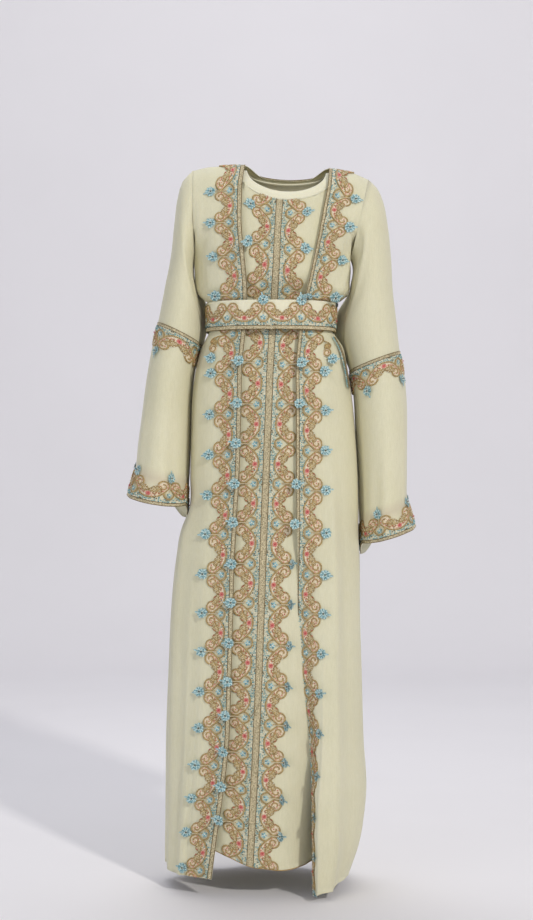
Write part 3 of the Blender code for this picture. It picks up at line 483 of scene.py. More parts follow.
def inner_top(shares):
    """The x at the top of each column of the inner dress, from armhole to armhole."""
    left, right = INNER_HOLES[-1].top_x, INNER_HOLES[1].top_x
    return [left, INNER_TOP_LEFT, *neck_columns(shares), INNER_TOP_RIGHT, right]


def near_angle(angle, middle):
    return smooth_step(0.0, 1.0, 1.0 - abs(angle - middle) / BEHIND_REACH)


def ring_points(ring, sides):
    """A sleeve ring: an ellipse between the outer and the inner point, lower in front and behind the arm."""
    outer = np.array([ring.outer_x, 0.0, ring.outer_z])
    inner = np.array([ring.inner_x, 0.0, ring.inner_z])
    middle, reach = (outer + inner) / 2, (outer - inner) / 2
    points = []
    for step in range(sides):
        angle = 2 * math.pi * step / sides
        y = -ring.depth * math.sin(angle)
        tuck = math.copysign(ring.tuck, -ring.outer_x) * near_angle(angle, TUCK_AT)
        hang = ring.hang * near_angle(angle, HANG_AT)
        points.append(middle + reach * math.cos(angle) + np.array([tuck, y, ring.fall * y - hang]))
    return points


def robe_back_grid():
    low = [column.share for column in ROBE_BACK_COLUMNS]
    top = [column.top_x for column in ROBE_BACK_COLUMNS]
    return panel_with_neck(ROBE, True, low, top, ROBE_NECK_HALF, ROBE_NECK_DROP)


def closed_rail(ring):
    return np.concatenate([ring, ring[:1]])


def belt_ring(z, out):
    """A ring round the waist of the robe, moved out, with its points from the front to both sides."""
    centre, half, front, _ = ROBE.frame(z - ROBE.armpit, 1, False)
    rear = ROBE.frame(z - ROBE.armpit, 1, True)[2]
    points = []
    for step in range(BELT_SIDES):
        angle = 2 * math.pi * step / BELT_SIDES
        depth = (rear if math.cos(angle) < 0 else front) + out
        across, ahead = math.sin(angle), math.cos(angle)
        x = centre + math.copysign((half + out) * abs(across) ** (2 / ROUNDNESS), across)
        y = -math.copysign(depth * abs(ahead) ** (2 / ROUNDNESS), ahead)
        points.append(np.array([x, y, z]))
    return np.array(points)


# Cloth of the dressed kaftan: a thin shell on a fine grid.
CLOTH = 0.0011
BAND_CLOTH = 0.0018
BAND_LAP = 0.0012
ROW_STEP = 0.0105
COLUMN_STEP = 0.0075
RISE = 0.183
SEAM_EASE = 0.016

# The columns of a closed grid that are repeated at its ends while it is made smooth.
WRAP = 3

# A soft fold of a panel: from one height and share of the panel's width to another, its width and its height.
Crease = namedtuple("Crease", "low_z low_share high_z high_share width height")
CREASES = {
    "robe_front_left": rows_of(
        Crease,
        (-1.6, 0.8, -0.42, 0.7, 0.026, 0.004), (-1.55, 0.6, -0.62, 0.52, 0.03, -0.0035),
        (-1.6, 0.93, -0.74, 0.9, 0.02, -0.004), (-1.6, 0.43, -0.7, 0.52, 0.015, 0.0048),
        (-1.6, 0.36, -0.72, 0.45, 0.014, -0.004), (-0.56, 0.84, -0.34, 0.74, 0.014, -0.003),
        (-0.3, 0.8, -0.05, 0.93, 0.018, 0.003), (-0.3, 0.62, -0.1, 0.66, 0.016, -0.0025),
        (-0.29, 0.52, -0.16, 0.5, 0.012, 0.002),
    ),
    "robe_front_right": rows_of(
        Crease,
        (-1.6, 0.38, -0.46, 0.37, 0.026, 0.008), (-1.6, 0.375, -0.5, 0.365, 0.01, 0.0032),
        (-1.6, 0.55, -0.6, 0.54, 0.02, -0.003), (-1.5, 0.25, -0.66, 0.26, 0.018, -0.002),
        (-1.6, 0.8, -0.4, 0.76, 0.026, 0.0035), (-0.45, 0.52, -0.33, 0.45, 0.016, -0.004),
        (-0.3, 0.5, -0.06, 0.88, 0.02, 0.005), (-0.3, 0.64, -0.1, 0.94, 0.014, -0.0035),
        (-0.29, 0.4, -0.18, 0.42, 0.01, -0.0022),
    ),
    "robe_back": rows_of(
        Crease,
        (-1.6, 0.06, -0.36, 0.1, 0.024, 0.0072), (-1.6, 0.16, -0.52, 0.17, 0.022, -0.007),
        (-1.6, 0.25, -0.34, 0.24, 0.028, 0.01), (-1.6, 0.36, -0.44, 0.34, 0.026, -0.0075),
        (-1.6, 0.45, -0.34, 0.43, 0.028, 0.009), (-1.6, 0.55, -0.6, 0.54, 0.022, -0.007),
        (-1.6, 0.63, -0.36, 0.61, 0.028, 0.0105), (-1.6, 0.74, -0.48, 0.71, 0.024, -0.007),
        (-1.6, 0.83, -0.35, 0.8, 0.026, 0.0085), (-1.6, 0.93, -0.66, 0.91, 0.02, -0.004),
        (-0.27, 0.3, -0.06, 0.16, 0.018, 0.0035), (-0.27, 0.42, -0.1, 0.4, 0.016, -0.0025),
        (-0.27, 0.58, -0.12, 0.6, 0.018, 0.003), (-0.27, 0.7, -0.05, 0.86, 0.018, 0.0035),
    ),
    "inner_front": rows_of(
        Crease,
        (-1.6, 0.1, -0.6, 0.14, 0.024, 0.004), (-1.6, 0.22, -0.8, 0.24, 0.016, -0.0025),
        (-1.6, 0.8, -0.7, 0.78, 0.018, -0.0025), (-1.6, 0.9, -0.6, 0.88, 0.022, 0.004),
    ),
    "inner_back": rows_of(
        Crease,
        (-1.6, 0.14, -0.36, 0.16, 0.026, 0.005), (-1.6, 0.31, -0.5, 0.3, 0.024, -0.0045),
        (-1.6, 0.47, -0.38, 0.46, 0.026, 0.005), (-1.6, 0.62, -0.56, 0.61, 0.022, -0.004),
        (-1.6, 0.8, -0.4, 0.78, 0.026, 0.005),
    ),
    "sleeve_left": rows_of(
        Crease,
        (-0.9, 0.13, -0.4, 0.12, 0.024, 0.0035), (-0.9, 0.32, -0.45, 0.3, 0.024, -0.004),
        (-0.66, 0.44, -0.28, 0.46, 0.018, -0.0035), (-0.9, 0.58, -0.3, 0.56, 0.024, 0.0045),
        (-0.9, 0.74, -0.34, 0.72, 0.026, -0.0045), (-0.9, 0.88, -0.26, 0.9, 0.024, 0.004),
        (-0.3, 0.34, -0.12, 0.22, 0.016, 0.0025), (-0.33, 0.44, -0.21, 0.34, 0.014, -0.0025),
    ),
    "sleeve_right": rows_of(
        Crease,
        (-1.0, 0.14, -0.42, 0.13, 0.024, 0.0035), (-1.0, 0.3, -0.52, 0.29, 0.022, -0.004),
        (-0.76, 0.42, -0.36, 0.44, 0.02, -0.0035), (-1.0, 0.6, -0.4, 0.57, 0.026, 0.0045),
        (-1.0, 0.76, -0.38, 0.73, 0.026, -0.0045), (-1.0, 0.9, -0.3, 0.9, 0.024, 0.004),
        (-0.3, 0.4, -0.08, 0.24, 0.018, 0.0035), (-0.36, 0.48, -0.22, 0.36, 0.014, -0.003),
    ),
}

# The shares of a fold's run over which it rises from its low end and dies out at its high end.
CREASE_START = 0.18
CREASE_END = 0.30

# Small gathers that the belt presses into the sides and the back.
Gather = namedtuple("Gather", "waves start depth reach")
GATHERS = {
    "robe_front_left": Gather(9, 0.55, 0.0016, 0.050),
    "robe_front_right": Gather(9, 0.50, 0.0018, 0.060),
    "robe_back": Gather(24, 0.02, 0.0020, 0.070),
}

# The share of the width over which gathers start, and how their waves are made uneven.
GATHER_START = 0.12
GATHER_SWAY = 3.0
GATHER_SWAYS = 9.0


def smooth_curve(places, values, wanted):
    """Values on one smooth curve through those at uneven places."""
    places = np.asarray(places, float)
    values = np.asarray(values, float)
    flat = values.reshape(len(places), -1)
    gaps = np.diff(places)[:, None]
    steps = np.diff(flat, axis=0) / gaps
    slopes = np.zeros_like(flat)
    slopes[1:-1] = (gaps[:-1] * steps[1:] + gaps[1:] * steps[:-1]) / (gaps[:-1] + gaps[1:])
    slopes[0], slopes[-1] = steps[0], steps[-1]
    index = np.clip(np.searchsorted(places, wanted, side="right") - 1, 0, len(places) - 2)
    gap = gaps[index]
    share = (np.asarray(wanted)[:, None] - places[index][:, None]) / gap
    rest = 1.0 - share
    curve = (1.0 + 2.0 * share) * rest**2 * flat[index] + share**2 * (3.0 - 2.0 * share) * flat[index + 1]
    curve += share * rest**2 * gap * slopes[index] - share**2 * rest * gap * slopes[index + 1]
    return curve.reshape((len(curve),) + values.shape[1:])


def between(places, counts):
    """Every place, with evenly spaced ones between each pair."""
    fine = []
    for low, high, count in zip(places, places[1:], counts):
        fine.append(np.linspace(low, high, count, endpoint=False))
    return np.concatenate(fine + [[places[-1]]])


def running(steps):
    """How far along each point is, from the steps between the points."""
    return np.concatenate([[0], np.cumsum(steps)])


def distances(line):
    return running(np.linalg.norm(np.diff(line, axis=0), axis=1))


def units(vectors):
    return vectors / np.maximum(np.linalg.norm(vectors, axis=-1, keepdims=True), TINY)


def wrapped(grid):
    """A closed grid with some of its columns again at both ends, so that it stays smooth where it closes."""
    return np.concatenate([grid[:, -WRAP:], grid, grid[:, : WRAP + 1]], axis=1)


def finer(grid, row_places, straight, closed):
    """A coarse grid made fine and smooth. Its straight cells, under lace, stay flat across.

    It returns the fine grid, and the fine row and the fine column of each coarse one.
    """
    row_counts = [max(1, round(gap / ROW_STEP)) for gap in np.diff(row_places)]
    tall = smooth_curve(row_places, grid, between(row_places, row_counts))
    if closed:
        tall = wrapped(tall)
    widths = np.linalg.norm(np.diff(tall, axis=1), axis=2).mean(axis=0)
    places = running(widths)
    counts = [max(1, round(width / COLUMN_STEP)) for width in widths]
    for cell in straight:
        counts[cell] = 1
    first, last = (WRAP, len(places) - WRAP - 1) if closed else (0, len(places) - 1)
    columns = between(places[first : last + 1], counts[first:last])
    fine = smooth_curve(places, tall.swapaxes(0, 1), columns).swapaxes(0, 1)
    if closed:
        fine = fine[:, :-1]
    return fine, running(row_counts), running(counts[first:last])


def normals_of(grid, closed, outward):
    """The way out of a grid at each point. A closed one faces away from its middle."""
    along = np.gradient(grid, axis=0)
    if closed:
        across = (np.roll(grid, -1, axis=1) - np.roll(grid, 1, axis=1)) / 2
        away = grid - grid.mean(axis=1, keepdims=True)
    else:
        across = np.gradient(grid, axis=1)
        away = np.broadcast_to(outward, grid.shape)
    normals = units(np.cross(across, along))
    return normals if (normals * away).sum() > 0 else -normals


def widths_across(grid, closed):
    """How far across the panel each point is, and each row's whole width."""
    ring = np.concatenate([grid, grid[:, :1]], axis=1) if closed else grid
    across = np.cumsum(np.linalg.norm(np.diff(ring, axis=1), axis=2), axis=1)
    across = np.concatenate([np.zeros((len(grid), 1)), across], axis=1)
    return (across[:, :-1] if closed else across), across[:, -1:]


def creased(name, grid, normals, closed, from_right):
    """Raises the folds and gathers of one panel. Shares run from the front edge, or round a sleeve."""
    across, whole = widths_across(grid, closed)
    share = across / whole
    if from_right:
        share = 1.0 - share
    height = grid[..., 2]
    move = np.zeros(share.shape)
    for crease in CREASES[name]:
        run = np.clip((height - crease.low_z) / (crease.high_z - crease.low_z), 0.0, 1.0)
        path = crease.low_share + run * (crease.high_share - crease.low_share)
        gap = np.abs(share - path)
        if closed:
            gap = np.minimum(gap, 1.0 - gap)
        profile = (1.0 + np.cos(np.pi * np.clip(gap * whole / crease.width, 0.0, 1.0))) / 2
        ends = smooth_step(0.0, CREASE_START, run) * smooth_step(0.0, CREASE_END, 1.0 - run)
        move += crease.height * profile * ends
    gather = GATHERS.get(name)
    if gather:
        away = np.maximum(np.maximum(BELT_LOW - height, height - BELT_TOP), 0.0)
        waves = np.sin(2 * np.pi * gather.waves * share + GATHER_SWAY * np.sin(GATHER_SWAYS * share))
        window = smooth_step(gather.start, gather.start + GATHER_START, share)
        move += gather.depth * waves * window * np.exp(-((away / gather.reach) ** 2)) * (away > 0)
    if not closed:
        edge = np.minimum(across, whole - across)
        move *= smooth_step(0.0, SEAM_EASE, edge)
    return grid + normals * move[..., None]


class Pile:
    """Triangles of many small parts, gathered before they become one piece."""

    def __init__(self):
        self.points = []
        self.triangles = []
        self.finishes = []
        self.threads = []
        self.count = 0

    def put(self, points, triangles, finishes, threads):
        self.points.append(points)
        self.triangles.append(triangles + self.count)
        self.finishes.append(finishes)
        self.threads.append(threads)
        self.count += len(points)

    def add(self, points, triangles, finish, threads=None):
        points = np.asarray(points, float)
        triangles = np.asarray(triangles, int)
        threads = np.zeros((len(points), 3)) if threads is None else np.asarray(threads, float)
        self.put(points, triangles, np.full(len(triangles), FINISHES.index(finish)), threads)

    def joined(self):
        parts = (self.points, self.triangles, self.finishes, self.threads)
        return tuple(np.concatenate(part) for part in parts)

    def moved(self, move):
        """A copy with its points moved by a function."""
        points, triangles, finishes, threads = self.joined()
        copy = Pile()
        copy.put(move(points), triangles, finishes, threads)
        return copy


def make_piece(name, pile, nodes):
    """One mesh object from a pile, which rides on the body and stands for its CAD nodes."""
    points, triangles, finishes, threads = pile.joined()
    used, slots = np.unique(finishes, return_inverse=True)
    mesh = bpy.data.meshes.new(name)
    mesh.vertices.add(len(points))
    mesh.vertices.foreach_set("co", points.astype(np.float32).ravel())
    mesh.loops.add(triangles.size)
    mesh.loops.foreach_set("vertex_index", triangles.astype(np.int32).ravel())
    mesh.polygons.add(len(triangles))
    mesh.polygons.foreach_set("loop_start", np.arange(0, triangles.size, 3, dtype=np.int32))
    for finish in used:
        mesh.materials.append(MATERIALS[FINISHES[finish]])
    mesh.polygons.foreach_set("material_index", slots.astype(np.int32).ravel())
    mesh.polygons.foreach_set("use_smooth", np.ones(len(triangles), bool))
    kept = mesh.attributes.new("thread", "FLOAT_VECTOR", "POINT")
    kept.data.foreach_set("vector", threads.astype(np.float32).ravel())
    mesh.update()
    mesh.validate()
    piece = shown(name, mesh)
    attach(piece, "root")
    if nodes:
        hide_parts(*nodes)
    return piece


def shown(name, data):
    """An object of the scene from its mesh, light or camera."""
    thing = bpy.data.objects.new(name, data)
    bpy.context.collection.objects.link(thing)
    return thing


def grid_triangles(rows, columns, closed):
    """Triangles between the points of a grid, rows of columns."""
    cells = columns if closed else columns - 1
    row, column = np.meshgrid(np.arange(rows - 1), np.arange(cells), indexing="ij")
    after = (column + 1) % columns
    a, b = row * columns + column, row * columns + after
    c, d = b + columns, a + columns
    first = np.stack([a, b, c], axis=-1).reshape(-1, 3)
    second = np.stack([a, c, d], axis=-1).reshape(-1, 3)
    return np.concatenate([first, second])


def shell(pile, grid, normals, wall, closed, finish, sheer=None):
    """A closed thin shell: the grid, its copy moved in by the wall, and the rims between them.

    Each point's thread holds how far across the panel it is, how far up from the hem, and how sheer, tinted as
    painted shade.
    """
    rows, columns = grid.shape[:2]
    shift = rows * columns
    flat = grid.reshape(-1, 3)
    points = np.concatenate([flat, (grid - wall * normals).reshape(-1, 3)])
    skin = grid_triangles(rows, columns, closed)
    face = skin[0]
    way = np.cross(flat[face[1]] - flat[face[0]], flat[face[2]] - flat[face[0]])
    if np.dot(way, normals.reshape(-1, 3)[face[0]]) < 0:
        skin = skin[:, ::-1]
    rims = [np.arange(columns), (rows - 1) * columns + np.arange(columns)]
    if closed:
        rims = [closed_rail(rim) for rim in rims]
    else:
        rims += [np.arange(rows) * columns, np.arange(rows) * columns + columns - 1]
    sides = []
    for rim in rims:
        low, high = rim[:-1], rim[1:]
        sides.append(np.stack([low, high, high + shift], axis=1))
        sides.append(np.stack([low, high + shift, low + shift], axis=1))
    across, _ = widths_across(grid, closed)
    steps = np.linalg.norm(np.diff(grid, axis=0), axis=2)
    up = np.concatenate([np.zeros((1, columns)), np.cumsum(steps, axis=0)])
    clear = np.zeros(across.shape) if sheer is None else sheer
    threads = np.stack([across, up, clear], axis=-1).reshape(-1, 3)
    triangles = np.concatenate([skin, skin[:, ::-1] + shift, *sides])
    pile.add(points, triangles, finish, np.concatenate([threads, threads]))


def flat_across(grid, column_at, cells):
    """Makes some coarse cells straight again after the folds, so that lace lies flat on them."""
    for first, last in cells:
        low, high = column_at[first], column_at[last]
        for column in range(low + 1, high):
            share = (column - low) / (high - low)
            grid[:, column] = grid[:, low] + share * (grid[:, high] - grid[:, low])


def layer_places(layer):
    return np.array([level if level <= 0.0 else level * RISE for level in layer.levels()])


def folded_cloth(name, coarse, places, straight, cells, outward, from_right=False):
    """A fine panel with its folds: its grid, its normals, and its fine row and column at each coarse one.

    A panel with no outward side is a closed sleeve, and its flat cells are rows.
    """
    closed = outward is None
    grid, row_at, column_at = finer(coarse, places, straight, closed)
    grid = creased(name, grid, normals_of(grid, closed, outward), closed, from_right)
    if closed:
        flat_across(grid.swapaxes(0, 1), row_at, cells)
    else:
        flat_across(grid, column_at, cells)
    return grid, normals_of(grid, closed, outward), row_at, column_at


def robe_front_cloth(side):
    """Fine grid of one front, its normals, and its columns at the front edge and at the lace's outer edge."""
    coarse = robe_front(side)
    last = coarse.shape[1] - 1
    right = side == "right"
    lace = (0, 1) if right else (last - 1, last)
    name = f"robe_front_{side}"
    grid, normals, _, column_at = folded_cloth(
        name, coarse, layer_places(ROBE), lace[:1], [lace], AHEAD, from_right=not right
    )
    edge, beyond = lace if right else reversed(lace)
    return grid, normals, (column_at[edge], column_at[beyond])


def inner_front_cloth():
    marks = (*LACE_CELLS[0], *reversed(LACE_CELLS[1]))
    straight = range(marks[0], marks[-1])
    cells = list(zip(marks, marks[1:]))
    grid, normals, _, column_at = folded_cloth(
        "inner_front", inner_front_grid(), layer_places(INNER), straight, cells, AHEAD
    )
    return grid, normals, column_at


def back_cloth(layer, name, coarse):
    grid, normals, _, _ = folded_cloth(name, coarse, layer_places(layer), (), (), BEHIND)
    return grid, normals, None


def inner_back_coarse():
    half = NECK_HALF + NECK_BAND + SEAM
    drop = NECK_BACK_DROP + NECK_BAND + SEAM
    return panel_with_neck(INNER, True, INNER_BACK_SHARES, inner_top(BACK_NECK_SHARES), half, drop)


def sleeve_cloth(side):
    """Fine grid of one sleeve, its normals, and its fine rows at each coarse ring."""
    rings = SLEEVES[side]
    coarse = np.array([ring_points(ring, SLEEVE_SIDES) for ring in rings])
    elbow, cuff = ELBOW_RING[side], len(rings) - 2
    cells = ((elbow, elbow + 1), (cuff, cuff + 1))
    places = distances(coarse.mean(axis=1))
    grid, normals, row_at, _ = folded_cloth(f"sleeve_{side}", coarse, places, (), cells, None)
    return grid, normals, row_at


class Strip:
    """A band of cloth between two rails that a trim lies on: u runs along it, v across it and w out of it."""

    def __init__(self, first, second, closed, outward, straight=LACE_WIDTH):
        if closed:
            first, second = closed_rail(first), closed_rail(second)
        middle = (first + second) / 2
        self.closed = closed
        self.straight = straight
        self.places = distances(middle)
        self.total = self.places[-1]
        along = np.gradient(middle, axis=0)
        if closed:
            along[0] = along[-1] = middle[1] - middle[-2]
            outward = first - first[:-1].mean(axis=0)
        normals = units(np.cross(second - first, along))
        if (normals * outward).sum() < 0:
            normals = -normals
        self.first = first
        self.across = (second - first) / straight
        self.normals = normals
        turn = np.cross(along, second - first)
        self.mirrored = (turn * normals).sum() < 0

    def at(self, values, u):
        return np.stack([np.interp(u, self.places, values[:, axis]) for axis in range(3)], axis=-1)

    def spots(self, u, v, w):
        u = np.asarray(u, float) % self.total if self.closed else np.asarray(u, float)
        aside = self.at(self.across, u) * np.asarray(v)[..., None]
        return self.at(self.first, u) + aside + self.at(self.normals, u) * np.asarray(w)[..., None]


def lay(pile, strip, part, offset, base, shrink=1.0, stretch=1.0, short=0.0):
    """Lays a part made flat in millimetres (along, across, out) on a strip, and drops what passes its ends.

    A pair for stretch holds what the part before and after its middle is stretched by.
    """
    points, triangles, finishes, threads = part.joined()
    below, above = stretch if isinstance(stretch, tuple) else (stretch, stretch)
    u = offset + points[:, 0] * MILLI * np.where(points[:, 0] < 0.0, below, above)
    v = (base(u) if callable(base) else base) + points[:, 1] * MILLI * shrink
    if not strip.closed:
        inside = (u >= 0.0) & (u <= strip.total - short) & (v > -PAST_EDGE)
        kept = inside[triangles].all(axis=1)
        if not kept.any():
            return
        triangles, finishes = triangles[kept], finishes[kept]
        used, triangles = np.unique(triangles, return_inverse=True)
        triangles = triangles.reshape(-1, 3)
        u, v, points, threads = u[used], v[used], points[used], threads[used]
    if strip.mirrored:
        triangles = triangles[:, ::-1]
    pile.put(strip.spots(u, v, points[:, 2] * MILLI), triangles, finishes, threads)


# One repeat of the lace, in millimetres: along from the middle of a scroll, across from the straight edge.
REPEAT = 77.0
Spot = namedtuple("Spot", "along across")
SCROLL_EDGE = rows_of(
    Spot,
    (0.0, 8.6), (7.0, 9.2), (13.5, 11.4), (20.0, 15.6), (26.0, 21.4), (31.2, 27.4),
)
VOLUTE = Spot(24.2, 37.8)
VOLUTE_START = -28.0
VOLUTE_TURN = 500.0
VOLUTE_WIDE = 12.8
VOLUTE_NARROW = 3.2
VOLUTE_TIGHTER = 1.15
CUP_OUTER = rows_of(Spot, (0.0, 7.4), (4.6, 8.4), (8.4, 11.4), (11.0, 16.0), (12.2, 21.0))
CUP_INNER = rows_of(Spot, (0.0, 10.4), (3.4, 11.2), (6.2, 13.8), (8.0, 18.0), (8.8, 21.6))
INNER_EDGE = rows_of(
    Spot,
    (0.0, 24.6), (4.0, 27.5), (7.0, 34.0), (12.0, 36.0), (17.0, 37.0), (26.0, 33.0), (33.0, 31.5),
)

# The leaves on the inner side of a scroll: middle, half its length and width, and its direction.
Leaf = namedtuple("Leaf", "along across long wide turn")
LEAVES = rows_of(
    Leaf,
    (9.6, 27.4, 7.2, 6.2, 60.0), (16.4, 32.0, 5.8, 5.2, 42.0), (4.0, 25.0, 3.8, 3.2, 58.0),
    (18.6, 24.4, 4.4, 3.4, 50.0), (11.4, 19.6, 3.4, 2.4, 42.0),
)
ROSE = Spot(0.0, 16.2)
PINK_DOTS = rows_of(
    Spot,
    (6.2, 13.2), (8.2, 17.6), (11.6, 17.2), (14.8, 20.6), (18.6, 20.2), (20.6, 25.2), (24.6, 25.6),
    (27.6, 30.2), (22.4, 30.6), (30.0, 34.6), (5.6, 31.6), (14.6, 38.6), (20.6, 40.4),
)
SEQUINS = rows_of(
    Spot,
    (8.2, 26.0), (12.8, 31.4), (10.6, 34.0), (16.8, 36.6), (24.6, 38.4), (29.0, 43.0), (20.0, 44.2),
)
# Dots between the turns of a volute: how far round it from its start, and how far out.
VOLUTE_DOTS = [(10.0, 9.6), (60.0, 8.7), (110.0, 7.7), (215.0, 6.4), (300.0, 1.0)]
BUD = Spot(0.0, 17.6)
STEM_LOW = 25.0
BEAD_STEP = 3.5
BEAD_ROW = 3.1
NET_BEAD = (1.15, 1.65)
NET_EDGE = rows_of(
    Spot,
    (0.0, 6.2), (4.6, 7.2), (8.4, 10.2), (11.0, 14.8), (12.6, 18.2), (18.5, 14.2), (25.0, 10.2),
    (31.5, 8.0), (38.5, 7.4),
)
VOLUTE_POINTS = 46
EYE_POINTS = 16

# The random variants of the scroll and of what lies between two, and how far lace may pass a front edge.
VARIANTS = 3
SCROLLS = []
BORDERS = []
PAST_EDGE = 0.0006

# A kind of cord on the lace: how high its middle lies, its radius and finish, and the sides of its section.
Cord = namedtuple("Cord", "height radius finish sides")
GOLD_RADIUS = 1.65
SCROLL_CORD = Cord(1.5, GOLD_RADIUS, "gold_cord", 5)
INSIDE_CORD = Cord(1.3, 0.65, "cream_cord", 4)
CUP_CORD = Cord(1.45, GOLD_RADIUS * 0.95, "gold_cord", 5)
CUP_TWIN = Cord(1.45, 0.6, "cream_cord", 5)
LEAF_RIM = Cord(1.5, 0.95, "gold_cord", 4)
LEAF_CURL = Cord(2.35, 0.6, "cream_cord", 4)
STEM_CORD = Cord(0.0, 0.85, "cream_cord", 5)
STEM_TWIN = Cord(0.0, 0.55, "gold_cord", 4)
HANGING_CURL = Cord(1.6, GOLD_RADIUS * 0.8, "gold_cord", 5)
HANGING_STEM = Cord(1.5, GOLD_RADIUS * 0.8, "gold_cord", 5)
HANGING_THREAD = Cord(1.5, 0.9, "cream_cord", 4)
HEM_CORD = Cord(0.0, 1.1, "hem_cord", 6)
TAPER_POINTS = 2.0
TAPER_TIP = 0.35
MOUND_ROUND = 2.4
BEAD_HEIGHT = 1.25

# The cords and the ground of a scroll, in millimetres, and how far its points are moved at random.
SCROLL_STEP = 2.6
SCROLL_SHIFT = 0.18
INSIDE_STEP = 2.8
INSIDE_GAP = 1.9
GROUND_REACH = 34.0
GROUND_POINTS = 25
GROUND_LEAST = 0.4
GROUND_SHARES = (0.0, 0.3, 0.7, 1.0)
GROUND_SEAT = 0.75
GROUND_SWELL = 0.5
VOLUTE_MOUND = (11.8, 11.8, 0.0, 0.9)
VOLUTE_MOUND_SEAT = 0.55
CUP_STEP = 2.4

# A leaf: how far it is moved and swung at random, its height and point, its rim and its curl.
LEAF_SHIFT = 0.3
LEAF_SWING = 6.0
LEAF_HEIGHT = 1.9
LEAF_POINT = 0.25
RIM_ARC = 165.0
RIM_POINTS = 13
RIM_PAST = 0.2
LEAF_CURL_POINTS = 9
LEAF_CURL_START = 30.0
LEAF_CURL_TURN = 400.0
LEAF_CURL_LONG = 0.62
LEAF_CURL_WIDE = 0.60
LEAF_CURL_IN = 0.46

# The dots, sequins and beads: their odds, how far they are moved at random, their height and sizes.
DOT_ODDS = {"red": 0.30, "pink": 0.38, "white_bead": 0.32}
DOT_SHIFT = 0.35
DOT_SEAT = 1.0
DOT_SIZES = (1.2, 1.8)
SEQUIN_SHIFT = 0.5
SEQUIN_SEAT = 2.6
SEQUIN_SIZES = (0.8, 1.15)
VOLUTE_SWING = 8.0
VOLUTE_SEAT = 1.1
VOLUTE_SIZES = (1.1, 1.6)
NET_ODDS = {"blue_bead": 0.50, "white_bead": 0.38, "dark_bead": 0.12}
NET_POINTS = 23
NET_SEAT = 0.55
NET_FIRST = 1.3
NET_STAGGER = 0.9
NET_BEAD_SEAT = 0.9
NET_SHIFT_ALONG = 0.25
NET_SHIFT_ACROSS = 0.2

# A petal: where it starts, how long and wide it is, and how far it rises and curls.
# Its rows run from its root, and swings are random turns in degrees.
Petal = namedtuple("Petal", "root length width rise curl")
ROSE_PETAL = Petal(0.8, 5.0, 5.4, 0.9, 0.2)
BUD_PETAL = Petal(0.6, 6.2, 4.4, 0.7, 0.1)
FLOWER_PETAL = 11.6
OUTER_PETAL = Petal(1.2, FLOWER_PETAL, 7.4, 0.6, 0.0)
INNER_PETAL = Petal(1.0, FLOWER_PETAL, 4.8, 1.2, 0.0)
TAIL_PETAL = Petal(4.0, FLOWER_PETAL * 1.42, 4.2, -0.4, -0.6)
PetalRow = namedtuple("PetalRow", "along half high")
PETAL_ROWS = rows_of(PetalRow, (0.0, 0.30, 0.0), (0.40, 0.90, 0.55), (0.80, 0.85, 0.9), (1.0, 0.15, 1.0))
PETAL_RIDGE = 0.35
OUTER_PETALS = 9
INNER_PETALS = 7
BLUES = ("blue_petal", "blue_shade")
FIFTH = 72.0
ROSE_START = 18.0
ROSE_SWING = 6.0
ROSE_SEAT = 1.5
ROSE_HEART = 2.1
BUD_START = 90.0
BUD_SWING = 8.0
BUD_SEAT = 1.2
BUD_HEART_SEAT = 1.6
BUD_HEART = 1.5
OUTER_SWING = 7.0
OUTER_LENGTHS = (0.84, 1.0)
OUTER_CURLS = (-0.6, 1.6)
INNER_START = 20.0
INNER_TURN = 51.4
INNER_SWING = 9.0
INNER_LENGTHS = (0.5, 0.74)
INNER_CURLS = (0.2, 1.6)
INNER_SEAT = 1.1
TAIL_TURN = 90.0
TAIL_SWING = 14.0
TAIL_SEAT = -0.3
HEART = 1.7
HEART_SEAT = 1.9
HEART_BEAD = 0.95
HEART_REACH = 2.9
HEART_START = 30.0

# A kind of braid: its plaits, the step of its stitches and their radius.
Plait = namedtuple("Plait", "plaits step radius")
LACE_PLAIT = Plait(2, 2.9, 0.95)
HIP_PLAIT = Plait(1, 2.6, 0.9)
CENTRE_PLAIT = Plait(4, 2.7, 1.0)
BACK_NECK_PLAIT = Plait(3, 2.9, 1.0)

# One stitch of a braid, as rings from end to end, how the stitches slant and overlap, and the edge cords.
PLAIT_RINGS = ((-1.0, 0.35), (-0.45, 1.0), (0.45, 1.0), (1.0, 0.35))
PLAIT_SIDES = 4
PLAIT_SLANT = 0.62
PLAIT_OVERLAP = 1.02
PLAIT_SEAT = 0.3
PLAIT_TALL = 1.1
PLAIT_EDGE = Cord(0.95, 0.75, "dark_gold", 4)
PLAIT_EDGE_IN = 0.35
PLAIT_GROUND = 0.25
PLAIT_GROUND_IN = 0.2
BRAID_IN = 0.0004


def spots_of(rows):
    return np.array([(spot.along, spot.across) for spot in rows])


def smooth_path(points, step):
    """A smooth line through points, with even steps."""
    lengths = distances(points)
    count = max(2, round(lengths[-1] / step))
    return smooth_curve(lengths, points, np.linspace(0.0, lengths[-1], count + 1))


def volute_path():
    """The curl at the end of a scroll, from its outside to its eye."""
    turn = np.linspace(0.0, VOLUTE_TURN, VOLUTE_POINTS)
    reach = VOLUTE_WIDE - (VOLUTE_WIDE - VOLUTE_NARROW) * (turn / VOLUTE_TURN) ** VOLUTE_TIGHTER
    angle = np.radians(VOLUTE_START + turn)
    return np.stack([VOLUTE.along + reach * np.cos(angle), VOLUTE.across + reach * np.sin(angle)], axis=1)


def beside(path, distance):
    """The same line moved to its left."""
    along = units(np.gradient(path, axis=0))
    return path + distance * np.stack([-along[:, 1], along[:, 0]], axis=1)


def both_ways(path):
    """A line with its mirror image before it, joined at its first point."""
    return np.concatenate([(path * [-1.0, 1.0])[::-1], path[1:]])


